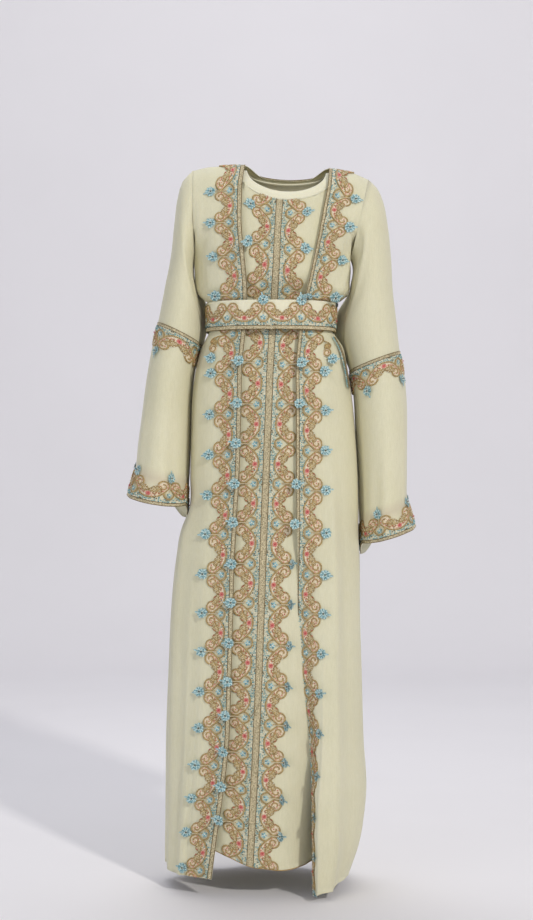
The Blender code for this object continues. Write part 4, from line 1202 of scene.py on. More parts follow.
def swung(x, y, turn, centre):
    """Places in the plane of the lace, turned by degrees and then moved to a centre."""
    c, s = math.cos(math.radians(turn)), math.sin(math.radians(turn))
    return centre[0] + c * x - s * y, centre[1] + s * x + c * y


def cord(pile, path, kind, taper=False):
    """A thread along a flat path. Its points know how far along and how far round it they are."""
    path = np.asarray(path, float)
    if path.shape[1] == 2:
        path = np.column_stack([path, np.full(len(path), kind.height)])
    along = units(np.gradient(path, axis=0))
    side = units(np.cross(along, [0.0, 0.0, 1.0]))
    lift = np.cross(side, along)
    turn = 2 * np.pi * np.arange(kind.sides) / kind.sides
    size = np.full(len(path), kind.radius)
    if taper:
        order = np.arange(len(path))
        size = size * np.clip(np.minimum(order, order[::-1]) / TAPER_POINTS + TAPER_TIP, 0.0, 1.0)
    ring = side[:, None] * np.cos(turn)[None, :, None] + lift[:, None] * np.sin(turn)[None, :, None]
    points = path[:, None] + ring * size[:, None, None]
    thread = np.zeros(points.shape)
    thread[..., 0] = distances(path)[:, None]
    thread[..., 1] = np.cos(turn)[None, :]
    thread[..., 2] = np.sin(turn)[None, :]
    triangles = grid_triangles(len(path), kind.sides, True)
    pile.add(points.reshape(-1, 3), triangles, kind.finish, thread.reshape(-1, 3))


def mound(pile, centre, long, wide, turn, height, finish, rings=2, sides=12, point=0.0, seat=0.5):
    """A low cushion of thread with a rounded top, drawn to a point at one end if asked."""
    points = [(0.0, 0.0, 1.0)]
    for ring in range(1, rings + 1):
        share = ring / rings
        up = math.sqrt(max(1.0 - share**MOUND_ROUND, 0.0))
        for step in range(sides):
            angle = 2 * math.pi * step / sides
            draw = 1.0 - point * (1.0 + math.cos(angle)) / 2 * abs(math.sin(angle))
            points.append((share * math.cos(angle), share * math.sin(angle) * draw, up))
    points = np.array(points)
    x, y = points[:, 0] * long, points[:, 1] * wide
    placed = np.stack([*swung(x, y, turn, centre), seat + height * points[:, 2]], axis=1)
    triangles = [(0, 1 + step, 1 + (step + 1) % sides) for step in range(sides)]
    for ring in range(rings - 1):
        low, high = 1 + ring * sides, 1 + (ring + 1) * sides
        for step in range(sides):
            after = (step + 1) % sides
            triangles += [(low + step, high + step, high + after), (low + step, high + after, low + after)]
    pile.add(placed, triangles, finish, np.stack([x, y, np.full(len(x), turn)], axis=1))


def bead(pile, centre, radius, finish, sides=5):
    mound(pile, centre[:2], radius, radius, 0.0, radius * BEAD_HEIGHT, finish, sides=sides, seat=centre[2])


def petal(pile, centre, turn, shape, finish):
    """One thin petal from near the middle of a flower outward, with a low ridge along it."""
    points, threads = [], []
    for row in PETAL_ROWS:
        reach = shape.root + row.along * (shape.length - shape.root)
        up = centre[2] + shape.rise * row.high + shape.curl * row.along * row.along
        for side in (-1.0, 0.0, 1.0):
            ridge = PETAL_RIDGE if side == 0.0 else 0.0
            points.append((reach, side * row.half * shape.width / 2, up + ridge))
            threads.append((row.along, side, turn))
    points = np.array(points)
    placed = np.stack([*swung(points[:, 0], points[:, 1], turn, centre), points[:, 2]], axis=1)
    pile.add(placed, grid_triangles(len(PETAL_ROWS), 3, False), finish, threads)


def picked(dice, odds):
    """One finish at random, by its odds."""
    return dice.choice(list(odds), p=list(odds.values()))


def sew_leaf(pile, leaf, side, dice):
    """One leaf of satin stitches with a gold rim and a pale curl on it."""
    spot = np.array([side * leaf.along, leaf.across]) + dice.normal(0.0, LEAF_SHIFT, 2)
    turn = leaf.turn + dice.uniform(-LEAF_SWING, LEAF_SWING)
    turn = turn if side > 0 else 180.0 - turn
    mound(pile, spot, leaf.long, leaf.wide, turn, LEAF_HEIGHT, "khaki", point=LEAF_POINT)
    rim = np.radians(np.linspace(-RIM_ARC, RIM_ARC, RIM_POINTS))
    x, y = (leaf.long + RIM_PAST) * np.cos(rim), (leaf.wide + RIM_PAST) * np.sin(rim)
    cord(pile, np.stack(swung(x, y, turn, spot), axis=1), LEAF_RIM)
    curl = np.linspace(0.0, 1.0, LEAF_CURL_POINTS)
    angle = np.radians(LEAF_CURL_START + LEAF_CURL_TURN * curl) * side
    x = (LEAF_CURL_LONG - LEAF_CURL_IN * curl) * leaf.long * np.cos(angle)
    y = (LEAF_CURL_WIDE - LEAF_CURL_IN * curl) * leaf.wide * np.sin(angle)
    cord(pile, np.stack(swung(x, y, turn, spot), axis=1), LEAF_CURL)


def make_scroll(dice):
    """The scroll of one repeat: cords, ground, leaves, a rose, dots and the beads beside it."""
    pile = Pile()
    half = np.concatenate([smooth_path(spots_of(SCROLL_EDGE), SCROLL_STEP), volute_path()[1:]])
    half += dice.normal(0.0, SCROLL_SHIFT, half.shape)
    cord(pile, both_ways(half), SCROLL_CORD, taper=True)
    cord(pile, both_ways(beside(smooth_path(half[:-EYE_POINTS], INSIDE_STEP), INSIDE_GAP)), INSIDE_CORD)
    scroll_ground(pile)
    for side in (-1.0, 1.0):
        middle = (side * VOLUTE.along, VOLUTE.across)
        mound(pile, middle, *VOLUTE_MOUND, "ivory", rings=3, seat=VOLUTE_MOUND_SEAT, sides=14)
        for leaf in LEAVES:
            sew_leaf(pile, leaf, side, dice)
        for dot in PINK_DOTS:
            spot = np.array([side * dot.along, dot.across]) + dice.normal(0.0, DOT_SHIFT, 2)
            finish = picked(dice, DOT_ODDS)
            bead(pile, (*spot, DOT_SEAT), dice.uniform(*DOT_SIZES), finish)
        for spot in SEQUINS:
            along = side * spot.along + dice.normal(0.0, SEQUIN_SHIFT)
            across = spot.across + dice.normal(0.0, SEQUIN_SHIFT)
            bead(pile, (along, across, SEQUIN_SEAT), dice.uniform(*SEQUIN_SIZES), "sequin")
        for turn, reach in VOLUTE_DOTS:
            angle = math.radians(VOLUTE_START + turn + dice.uniform(-VOLUTE_SWING, VOLUTE_SWING))
            along = side * (VOLUTE.along + reach * math.cos(angle))
            across = VOLUTE.across + reach * math.sin(angle)
            size = dice.uniform(*VOLUTE_SIZES)
            bead(pile, (along, across, VOLUTE_SEAT), size, dice.choice(["pink", "red", "white_bead"]))
    for step in range(5):
        turn = FIFTH * step + ROSE_START + dice.uniform(-ROSE_SWING, ROSE_SWING)
        petal(pile, (*ROSE, ROSE_SEAT), turn, ROSE_PETAL, "pink")
    bead(pile, (*ROSE, ROSE_HEART), ROSE_HEART, "red", 6)
    return pile


def scroll_ground(pile):
    """The ivory cloth between the scroll and its inner edge, a little swollen."""
    outer, inner = spots_of(SCROLL_EDGE), spots_of(INNER_EDGE)
    at = np.linspace(-GROUND_REACH, GROUND_REACH, GROUND_POINTS)
    low = np.interp(np.abs(at), outer[:, 0], outer[:, 1])
    high = np.maximum(np.interp(np.abs(at), inner[:, 0], inner[:, 1]), low + GROUND_LEAST)
    rows = []
    for share in GROUND_SHARES:
        swell = GROUND_SEAT + GROUND_SWELL * math.sin(math.pi * share)
        rows.append(np.stack([at, low + share * (high - low), np.full(len(at), swell)], axis=1))
    pile.add(np.concatenate(rows), grid_triangles(len(rows), len(at), False), "ivory")


def make_border(dice):
    """What lies between two scrolls and along them: the beaded net, the cup and its small blue flower."""
    pile = Pile()
    edge = spots_of(NET_EDGE)
    at = np.linspace(-REPEAT / 2, REPEAT / 2, NET_POINTS)
    high = np.interp(REPEAT / 2 - np.abs(at), edge[:, 0], edge[:, 1])
    rows = [np.stack([at, share * high, np.full(len(at), NET_SEAT)], axis=1) for share in (0.0, 0.5, 1.0)]
    pile.add(np.concatenate(rows), grid_triangles(len(rows), len(at), False), "blue_net")
    count = int(REPEAT / BEAD_STEP)
    for step in range(count):
        along = -REPEAT / 2 + (step + 0.5) * REPEAT / count
        top = float(np.interp(REPEAT / 2 - abs(along), edge[:, 0], edge[:, 1]))
        across = NET_FIRST + (NET_STAGGER if step % 2 else 0.0)
        while across < top:
            finish = picked(dice, NET_ODDS)
            spot = along + dice.normal(0.0, NET_SHIFT_ALONG), across + dice.normal(0.0, NET_SHIFT_ACROSS)
            bead(pile, (*spot, NET_BEAD_SEAT), dice.uniform(*NET_BEAD), finish)
            across += BEAD_ROW
    for side in (-1.0, 1.0):
        for cup, kind in ((CUP_OUTER, CUP_CORD), (CUP_INNER, CUP_TWIN)):
            cord(pile, smooth_path(spots_of(cup), CUP_STEP) * [side, 1.0], kind)
    for step in range(5):
        turn = FIFTH * step + BUD_START + dice.uniform(-BUD_SWING, BUD_SWING)
        petal(pile, (*BUD, BUD_SEAT), turn, BUD_PETAL, BLUES[step % 2])
    bead(pile, (*BUD, BUD_HEART_SEAT), BUD_HEART, "white_bead")
    return pile


def make_flower(dice):
    """A raised blue flower round its own middle, with its tail petal pointing across, away from the lace."""
    pile = Pile()
    for step in range(OUTER_PETALS):
        turn = 360.0 / OUTER_PETALS * step + dice.uniform(-OUTER_SWING, OUTER_SWING)
        length = FLOWER_PETAL * dice.uniform(*OUTER_LENGTHS)
        shape = OUTER_PETAL._replace(length=length, curl=dice.uniform(*OUTER_CURLS))
        petal(pile, (0.0, 0.0, 0.0), turn, shape, "blue_petal")
    for step in range(INNER_PETALS):
        turn = INNER_TURN * step + INNER_START + dice.uniform(-INNER_SWING, INNER_SWING)
        length = FLOWER_PETAL * dice.uniform(*INNER_LENGTHS)
        shape = INNER_PETAL._replace(length=length, curl=dice.uniform(*INNER_CURLS))
        petal(pile, (0.0, 0.0, INNER_SEAT), turn, shape, BLUES[step % 2])
    turn = TAIL_TURN + dice.uniform(-TAIL_SWING, TAIL_SWING)
    petal(pile, (0.0, 0.0, TAIL_SEAT), turn, TAIL_PETAL, "blue_petal")
    bead(pile, (0.0, 0.0, HEART_SEAT), HEART, "dark_bead", 6)
    for step in range(5):
        angle = math.radians(FIFTH * step + HEART_START)
        spot = (HEART_REACH * math.cos(angle), HEART_REACH * math.sin(angle), HEART_SEAT)
        bead(pile, spot, HEART_BEAD, "white_bead")
    return pile


def tipped(points, tilt_along, tilt_across):
    """Points tipped about the along direction and then about the across direction, in degrees."""
    a, b = math.radians(tilt_along), math.radians(tilt_across)
    x, y, z = points[:, 0], points[:, 1], points[:, 2]
    y, z = math.cos(a) * y - math.sin(a) * z, math.sin(a) * y + math.cos(a) * z
    x, z = math.cos(b) * x + math.sin(b) * z, -math.sin(b) * x + math.cos(b) * z
    return np.stack([x, y, z], axis=1)


def plait_stitch():
    """One stitch of a braid, with half its length and its radius as one: points, triangles and threads."""
    points, threads = [], []
    for along, size in PLAIT_RINGS:
        for side in range(PLAIT_SIDES):
            angle = math.pi * side / (PLAIT_SIDES - 1)
            points.append((along, size * math.cos(angle), size * math.sin(angle)))
            threads.append((along, math.cos(angle), math.sin(angle)))
    return np.array(points), grid_triangles(len(PLAIT_RINGS), PLAIT_SIDES, False), np.array(threads)


def plait(pile, strip, low, high, kind, short=0.0, base=None):
    """Rows of slanting stitches between two distances across a strip, which read as a flat braid."""
    base = low if base is None else base
    stitch, triangles, threads = plait_stitch()
    breadth = (high - low) * MM_A_METRE
    step, radius = kind.step, kind.radius
    width = breadth / kind.plaits
    slant = width * PLAIT_SLANT
    run = math.hypot(width, slant)
    count = int((strip.total - short) * MM_A_METRE / step)
    at = (np.arange(count) + 0.5) * step
    row = Pile()
    for column in range(kind.plaits):
        odd = column % 2
        ux, uy = slant / run * (1.0 if odd else -1.0), width / run
        x, y = stitch[:, 0] * (run / 2 * PLAIT_OVERLAP), stitch[:, 1] * radius
        middle, up = (column + 0.5) * width, PLAIT_SEAT + stitch[:, 2] * radius * PLAIT_TALL
        local = np.stack([ux * x - uy * y, middle + uy * x + ux * y, up], axis=1)
        points = np.repeat(local[None], count, axis=0)
        points[..., 0] += at[:, None] + (step / 2 if odd else 0.0)
        shift = (np.arange(count) * len(local))[:, None, None]
        many = (triangles[None] + shift).reshape(-1, 3)
        row.add(points.reshape(-1, 3), many, "gold_braid", np.tile(threads, (count, 1)))
    for line in (PLAIT_EDGE_IN, breadth - PLAIT_EDGE_IN):
        cord(row, np.stack([at, np.full(count, line)], axis=1)[::2], PLAIT_EDGE)
    lay(pile, strip, row, 0.0, base, short=short)
    ground = Pile()
    lines = []
    for line in (PLAIT_GROUND_IN, breadth - PLAIT_GROUND_IN):
        lines.append(np.stack([at, np.full(count, line), np.full(count, PLAIT_GROUND)], axis=1))
    ground.add(np.concatenate(lines), grid_triangles(2, count, False), "gold_braid")
    lay(pile, strip, ground, 0.0, base, short=short)


# Rows of the photograph at which the raised flowers of a lace are. The ones under the belt are guessed.
FLOWER_ROWS = {
    "edge_lace_left": [
        188, 221, 255.5, 293, 333, 373, 414, 455, 495.6, 535, 575, 614, 652, 692, 728.5, 766, 800, 835, 871.6,
    ],
    "edge_lace_right": [
        193.6, 223.4, 257, 293, 332, 371, 410, 451, 491, 533, 575, 614, 653, 692, 731, 773, 813, 852, 889,
    ],
    "centre_lace_left": [
        206, 243, 283, 322, 362, 404, 444, 484, 523, 564, 603, 643, 682, 717, 753, 788, 823, 860,
    ],
    "centre_lace_right": [
        211, 248, 288, 326, 364, 404, 444, 484, 524, 565, 605, 646, 686, 725, 762, 798, 835, 872,
    ],
}
ROW_PITCH = 38.0
NO_FLOWER_ROWS = {
    "edge_lace_left": [333],
    "edge_lace_right": [332],
    "centre_lace_left": [283, 322],
    "centre_lace_right": [326, 444],
}

# How much of a trim is turned under the robe's edge, by height.
Turned = namedtuple("Turned", "height hidden")
TURNED_EDGES = {
    "edge_lace_right": rows_of(
        Turned,
        (-1.45, 0.006), (-1.1, 0.006), (-0.95, 0.0055), (-0.88, 0.005), (-0.74, 0.001), (-0.6, 0.0),
    ),
}


# How a raised flower is moved and tipped at random, and how high it sits above its lift.
FLOWER_SHIFT = 1.2
FLOWER_OUT = 0.8
FLOWER_TIP = 7.0
FLOWER_SEAT = 1.6
STEM_STEP = 3.0
STEM_BESIDE = [1.5, 0.0, -0.1]


def height_of_row(row):
    """The height of a row of the photograph, for what is as far in front as the lace."""
    return CAMERA_PLACE[2] - (row - PICTURE_TALL / 2) * PIXEL_SIZE * (1.0 - LACE_AHEAD / abs(CAMERA_PLACE[1]))


class Lace:
    """How one trim is laid: where its junctions are, its own braid, and how far out its flowers are."""

    def __init__(self, strip, name, braid_width, shrink, flower, short=0.0):
        self.strip = strip
        self.braid = braid_width
        self.shrink = shrink
        self.flower = flower
        self.short = short
        turn = TURNED_EDGES.get(name)

        def hidden(u):
            if not turn:
                return 0.0
            height = np.interp(u, strip.places, strip.first[:, 2])
            return np.interp(height, [spot.height for spot in turn], [spot.hidden for spot in turn])

        self.braid_start = lambda u: -hidden(u)
        self.start = lambda u: braid_width - hidden(u)
        if strip.closed:
            place = PLACES[name]
            self.junctions = place.first + strip.total / place.repeats * np.arange(place.repeats + 1)
            self.bare = [False] * place.repeats
        else:
            rows = FLOWER_ROWS[name]
            rows = [rows[0] - 2 * ROW_PITCH, rows[0] - ROW_PITCH, *rows, rows[-1] + ROW_PITCH][::-1]
            heights = [height_of_row(row) for row in rows]
            rail = (strip.first + strip.across * strip.straight / 2)[:, 2]
            past = [max(height - rail[-1], 0.0) + min(height - rail[0], 0.0) for height in heights]
            self.junctions = np.interp(heights, rail, strip.places) + np.array(past)
            self.bare = [row in NO_FLOWER_ROWS[name] for row in rows]

    def lay(self, pile, part, offset, shrink=1.0, stretch=1.0):
        lay(pile, self.strip, part, offset, self.start, shrink, stretch, self.short)


def sew_lace(lace, pile, dice, flower_place):
    """All repeats of a lace. flower_place gives the placing of each raised flower, or None for no flower."""
    strip = lace.strip
    if lace.braid:
        plait(pile, strip, 0.0, lace.braid, LACE_PLAIT, lace.short, lace.braid_start)
    junctions = lace.junctions
    pitches = np.diff(junctions) * MM_A_METRE / REPEAT
    for repeat, pitch in enumerate(pitches):
        junction = junctions[repeat]
        variant = repeat % VARIANTS
        before = pitches[repeat - 1] if repeat or strip.closed else pitch
        lace.lay(pile, SCROLLS[variant], (junction + junctions[repeat + 1]) / 2, lace.shrink, pitch)
        lace.lay(pile, BORDERS[variant], junction, lace.shrink, (before, pitch))
        placing = flower_place(junction)
        inside = strip.closed or 0.0 < junction < strip.total - lace.short
        if placing is not None and inside and not lace.bare[repeat]:
            sew_flower(lace, pile, junction, dice, placing)


def sew_flower(lace, pile, junction, dice, placing):
    """One raised flower and the threads that hold it to the lace."""
    flower = make_flower(dice)
    shift = dice.uniform(-FLOWER_SHIFT, FLOWER_SHIFT)
    across = lace.flower + placing.drop + dice.uniform(-FLOWER_OUT, FLOWER_OUT)
    tilts = placing.tilt + dice.uniform(-FLOWER_TIP, FLOWER_TIP), dice.uniform(-FLOWER_TIP, FLOWER_TIP)
    lift = placing.lift
    place = [shift, across, lift + FLOWER_SEAT]
    lace.lay(pile, flower.moved(lambda points: tipped(points, *tilts) + place), junction)
    # Its threads rise from the lace up to the flower, by (along, across, out).
    stem = Pile()
    low = STEM_LOW * lace.shrink
    line = [
        (0.0, low, 1.3),
        (0.2, (low + across) / 2, 1.5 + lift * 0.25),
        (shift * 0.6, across - 7.0, 1.6 + lift * 0.8),
        (shift, across - 3.0, lift + 1.4),
    ]
    path = smooth_path(np.array(line), STEM_STEP)
    cord(stem, path, STEM_CORD)
    cord(stem, path + STEM_BESIDE, STEM_TWIN)
    lace.lay(pile, stem, junction)


def settle(node, values):
    """Sets inputs of a node by name. A colour's three parts become opaque."""
    for name, value in values.items():
        target = node.inputs[name]
        target.default_value = (*value, 1.0) if target.type == "RGBA" else value


def new_group(name, extra=None):
    """A shader node group with named sockets. It returns the group and the nodes that carry them."""
    tree = bpy.data.node_groups.new(name, "ShaderNodeTree")
    sockets = [("Light", "INPUT", "Color"), ("Dark", "INPUT", "Color"), ("Rough", "INPUT", "Float")]
    sockets += [("Color", "OUTPUT", "Color"), ("Roughness", "OUTPUT", "Float"), ("Height", "OUTPUT", "Float")]
    if extra:
        sockets.append((extra, "INPUT", "Float"))
    for label, way, kind in sockets:
        tree.interface.new_socket(label, in_out=way, socket_type=f"NodeSocket{kind}")
    return tree, tree.nodes.new("NodeGroupInput").outputs, tree.nodes.new("NodeGroupOutput").inputs


def finish_group(tree, entry, leave, share, worn, roughens, height):
    """The colour by its share, the roughness with some of the wear, and the height of a group."""
    tree.links.new(blend(tree, share, entry["Dark"], entry["Light"]), leave["Color"])
    tree.links.new(weighed(tree, (entry["Rough"], 1.0), (worn, roughens)), leave["Roughness"])
    tree.links.new(height, leave["Height"])
    return tree


def sums(tree, operation, *values):
    """A Math node. Each value is a number or another node's output."""
    node = tree.nodes.new("ShaderNodeMath")
    node.operation = operation
    for place, value in enumerate(values):
        if isinstance(value, (int, float)):
            node.inputs[place].default_value = value
        else:
            tree.links.new(value, node.inputs[place])
    return node.outputs[0]


def weighed(tree, *parts):
    """The sum of values, each times its weight."""
    total = None
    for value, weight in parts:
        part = value if weight == 1.0 else sums(tree, "MULTIPLY", value, weight)
        total = part if total is None else sums(tree, "ADD", total, part)
    return total


def wave(tree, value, beat):
    """A wave from 0 to 1 along a value."""
    line = sums(tree, "SINE", sums(tree, "MULTIPLY", value, beat))
    return sums(tree, "ADD", sums(tree, "MULTIPLY", line, 0.5), 0.5)


NOISE_ROUGH = 0.55


def noise(tree, scale, detail, stretch=(1.0, 1.0, 1.0)):
    where = tree.nodes.new("ShaderNodeTexCoord")
    place = tree.nodes.new("ShaderNodeMapping")
    settle(place, {"Scale": stretch})
    texture = tree.nodes.new("ShaderNodeTexNoise")
    settle(texture, {"Scale": scale, "Detail": detail, "Roughness": NOISE_ROUGH})
    tree.links.new(where.outputs["Object"], place.inputs["Vector"])
    tree.links.new(place.outputs["Vector"], texture.inputs["Vector"])
    return texture.outputs["Fac"]


def thread_parts(tree):
    """The three numbers that each point keeps: on a thread, how far along and its direction round it."""
    thread = tree.nodes.new("ShaderNodeAttribute")
    thread.attribute_name = "thread"
    parts = tree.nodes.new("ShaderNodeSeparateXYZ")
    tree.links.new(thread.outputs["Vector"], parts.inputs["Vector"])
    return parts.outputs


def blend(tree, share, low, high):
    """A colour between two, each a colour's three parts or another node's output."""
    node = tree.nodes.new("ShaderNodeMix")
    node.data_type = "RGBA"
    tree.links.new(share, node.inputs["Factor"])
    for name, value in (("A", low), ("B", high)):
        target = [entry for entry in node.inputs if entry.name == name and entry.type == "RGBA"][0]
        if isinstance(value, tuple):
            target.default_value = (*value, 1.0)
        else:
            tree.links.new(value, target)
    return [entry for entry in node.outputs if entry.type == "RGBA"][0]


def ramp(tree, value, low, high):
    node = tree.nodes.new("ShaderNodeMapRange")
    node.interpolation_type = "SMOOTHSTEP"
    settle(node, {"From Min": low, "From Max": high})
    tree.links.new(value, node.inputs["Value"])
    return node.outputs["Result"]


def crepe_group():
    """Crepe: fine pebbles of twisted yarn, faint upright streaks and a slow change of tone."""
    tree, entry, leave = new_group("crepe weave")
    pebble = noise(tree, scale=950.0, detail=2.0)
    streak = noise(tree, scale=420.0, detail=2.0, stretch=(1.0, 1.0, 0.12))
    broad = noise(tree, scale=5.0, detail=2.0)
    share = ramp(tree, weighed(tree, (pebble, 0.55), (streak, 0.30), (broad, 0.30)), low=0.35, high=0.80)
    height = weighed(tree, (pebble, 1.0), (streak, 0.6))
    return finish_group(tree, entry, leave, share, pebble, 0.14, height)


def twist_group():
    """Twisted metal thread: winding bands of painted highlight and painted shade, and uneven wear."""
    tree, entry, leave = new_group("twisted thread", "Turns")
    parts = thread_parts(tree)
    angle = sums(tree, "ARCTAN2", parts[2], parts[1])
    wound = sums(tree, "ADD", sums(tree, "MULTIPLY", parts[0], entry["Turns"]), angle)
    # The winding bands: painted highlight on the ridges of the twist and painted shade in its grooves, and its
    # bump.
    band = wave(tree, wound, 1.0)
    worn = noise(tree, scale=260.0, detail=3.0)
    share = ramp(tree, weighed(tree, (band, 0.55), (worn, 0.65)), low=0.25, high=0.95)
    return finish_group(tree, entry, leave, share, worn, 0.2, band)


def stitch_group():
    """Satin stitches or glass: a grain in one direction and a change of tone from piece to piece."""
    tree, entry, leave = new_group("stitched grain", "Grain")
    line = wave(tree, thread_parts(tree)[1], entry["Grain"])
    tone = noise(tree, scale=380.0, detail=2.0)
    share = ramp(tree, weighed(tree, (line, 0.4), (tone, 0.9)), low=0.37, high=0.86)
    return finish_group(tree, entry, leave, share, tone, 0.2, line)


def rgb(red, green, blue):
    """Linear colour from the 0 to 255 values of a screen colour."""
    screen = [part / 255 for part in (red, green, blue)]
    return tuple(part / 12.92 if part < 0.0405 else ((part + 0.055) / 1.055) ** 2.4 for part in screen)


# Each finish: its group, light and dark screen colours, the turns or grain of its thread, and its surface.
# For the twisted threads, light and dark are also their painted highlight and painted shade.
Finish = namedtuple("Finish", "group light dark extra rough metallic bump distance sheen")
FINISH_TABLE = {
    "crepe": Finish("crepe", (224, 219, 190), (209, 204, 172), None, 0.78, 0.0, 0.35, 0.0004, 0.15),
    "band": Finish("crepe", (234, 230, 204), (220, 215, 188), None, 0.74, 0.0, 0.30, 0.0003, 0.12),
    "gold_cord": Finish("twist", (222, 192, 130), (92, 70, 32), 2.4, 0.38, 0.2, 0.6, 0.0005, 0.0),
    "gold_braid": Finish("stitch", (244, 232, 196), (120, 104, 64), 9.0, 0.42, 0.1, 0.6, 0.0005, 0.0),
    "dark_gold": Finish("twist", (150, 126, 78), (74, 56, 26), 2.4, 0.45, 0.2, 0.5, 0.0004, 0.0),
    "cream_cord": Finish("twist", (236, 226, 198), (196, 178, 140), 3.4, 0.45, 0.05, 0.5, 0.0003, 0.0),
    "ivory": Finish("stitch", (238, 224, 198), (196, 172, 138), 3.0, 0.62, 0.0, 0.4, 0.0003, 0.1),
    "sequin": Finish("stitch", (250, 240, 212), (226, 206, 160), 2.0, 0.16, 0.3, 0.1, 0.0002, 0.0),
    "khaki": Finish("stitch", (230, 206, 146), (70, 54, 22), 5.5, 0.45, 0.12, 0.7, 0.0005, 0.0),
    "pink": Finish("stitch", (222, 144, 130), (182, 92, 86), 6.0, 0.4, 0.0, 0.3, 0.0003, 0.0),
    "red": Finish("stitch", (206, 96, 90), (152, 54, 54), 6.0, 0.34, 0.0, 0.2, 0.0003, 0.0),
    "blue_petal": Finish("stitch", (198, 222, 220), (92, 142, 150), 4.0, 0.45, 0.0, 0.5, 0.0004, 0.1),
    "blue_bead": Finish("stitch", (142, 196, 200), (74, 126, 136), 2.0, 0.18, 0.0, 0.1, 0.0002, 0.0),
    "white_bead": Finish("stitch", (248, 244, 226), (206, 200, 174), 2.0, 0.18, 0.0, 0.1, 0.0002, 0.0),
    "dark_bead": Finish("stitch", (112, 106, 80), (58, 54, 38), 2.0, 0.2, 0.0, 0.1, 0.0002, 0.0),
    "blue_net": Finish("stitch", (230, 226, 198), (170, 168, 142), 3.0, 0.62, 0.0, 0.3, 0.0003, 0.0),
    "blue_shade": Finish("stitch", (132, 178, 184), (58, 100, 110), 4.0, 0.45, 0.0, 0.5, 0.0004, 0.1),
    "hem_cord": Finish("twist", (196, 166, 110), (140, 108, 62), 2.4, 0.42, 0.2, 0.5, 0.0004, 0.0),
}
FINISHES = list(FINISH_TABLE)
MATERIALS = {}
EXTRAS = {"twist": "Turns", "stitch": "Grain"}
CREPE_GLOW = {
    "Subsurface Weight": 0.30,
    "Subsurface Radius": (1.0, 0.88, 0.66),
    "Subsurface Scale": 0.004,
}

# The turned hem and its line of stitches, in metres up from the edge, and the painted shade seen through sheer
# cloth.
HEM_TURN = 0.013
STITCH_BEAT = 2200.0
STITCH_WIDE = 0.0011
STITCH_DEEP = 1.2
SHADE_THROUGH_SHEER = (196, 182, 160)
SHEER_MOST = 0.55


def new_material(name):
    """A material, with its node tree and its shader node."""
    material = bpy.data.materials.new(name)
    material.use_nodes = True
    tree = material.node_tree
    return material, tree, tree.nodes["Principled BSDF"]


def make_materials():
    groups = {"crepe": crepe_group(), "twist": twist_group(), "stitch": stitch_group()}
    for name, finish in FINISH_TABLE.items():
        MATERIALS[name], tree, shader = new_material(name)
        node = tree.nodes.new("ShaderNodeGroup")
        node.node_tree = groups[finish.group]
        settle(node, {"Light": rgb(*finish.light), "Dark": rgb(*finish.dark), "Rough": finish.rough})
        if finish.group in EXTRAS:
            settle(node, {EXTRAS[finish.group]: finish.extra})
        settle(shader, {"Metallic": finish.metallic, "Sheen Weight": finish.sheen, "Sheen Roughness": 0.5})
        if finish.group == "crepe":
            settle(shader, CREPE_GLOW)
        bump = tree.nodes.new("ShaderNodeBump")
        settle(bump, {"Strength": finish.bump, "Distance": finish.distance})
        color, height = node.outputs["Color"], node.outputs["Height"]
        if name == "crepe":
            color, height = hem_and_sheer(tree, color, height)
        tree.links.new(height, bump.inputs["Height"])
        tree.links.new(color, shader.inputs["Base Color"])
        tree.links.new(node.outputs["Roughness"], shader.inputs["Roughness"])
        tree.links.new(bump.outputs["Normal"], shader.inputs["Normal"])


def hem_and_sheer(tree, color, height):
    """The turned hem with its line of stitches, and the thinner cloth just above a cuff, tinted toward painted
    shade.
    """
    parts = thread_parts(tree)
    groove = ramp(tree, sums(tree, "ABSOLUTE", sums(tree, "SUBTRACT", parts[1], HEM_TURN)), 0.0, STITCH_WIDE)
    beat = ramp(tree, sums(tree, "SINE", sums(tree, "MULTIPLY", parts[0], STITCH_BEAT)), -0.5, 0.2)
    stitch = sums(tree, "MAXIMUM", groove, beat)
    tall = weighed(tree, (height, 1.0), (stitch, STITCH_DEEP))
    # The sheer share tints the colour toward painted shade of the sleeve's inside showing through.
    return blend(tree, sums(tree, "MULTIPLY", parts[2], SHEER_MOST), color, rgb(*SHADE_THROUGH_SHEER)), tall


# The camera of the photograph and the plain studio round the kaftan.
CAMERA_PLACE = (-0.0308, -3.55, -0.5945)
PIXEL_SIZE = 0.00205
PICTURE_WIDE = 533
PICTURE_TALL = 920
MIDDLE_PIXEL = 266
LACE_AHEAD = 0.12
FLOOR = -1.462
STUDIO_REACH = 9.0
WALL_FOOT = 3.4
WALL_TOP = 3.6
SWEEP = 1.4
SWEEP_START = 0.10
SWEEP_STEPS = 14
PAPER = (240, 238, 241)
PAPER_ROUGH = 0.85
PAPER_SHADE = 0.94
SKY = (0.93, 0.94, 1.0)
SKY_POWER = 0.42

# The area lights: where each is and what it is aimed at, its size, power and colour.
KAFTAN_MIDDLE = (0.0, 0.0, -0.65)
Lamp = namedtuple("Lamp", "name place aim size power colour")
LAMPS = [
    Lamp("key", (3.2, -6.0, 3.2), KAFTAN_MIDDLE, 0.45, 264.0, (1.0, 0.965, 0.91)),
    Lamp("fill", (-3.6, -3.8, -0.3), KAFTAN_MIDDLE, 3.0, 38.0, (0.93, 0.96, 1.0)),
    Lamp("back", (-0.6, 1.3, 1.5), KAFTAN_MIDDLE, 1.6, 12.0, (0.96, 0.98, 1.0)),
    Lamp("front", (-0.6, -5.2, -0.5), KAFTAN_MIDDLE, 2.5, 17.0, (0.98, 0.98, 1.0)),
    Lamp("wall", (0.0, 1.4, 3.2), (0.0, 3.2, FLOOR), 2.5, 44.0, (0.98, 0.98, 1.0)),
]


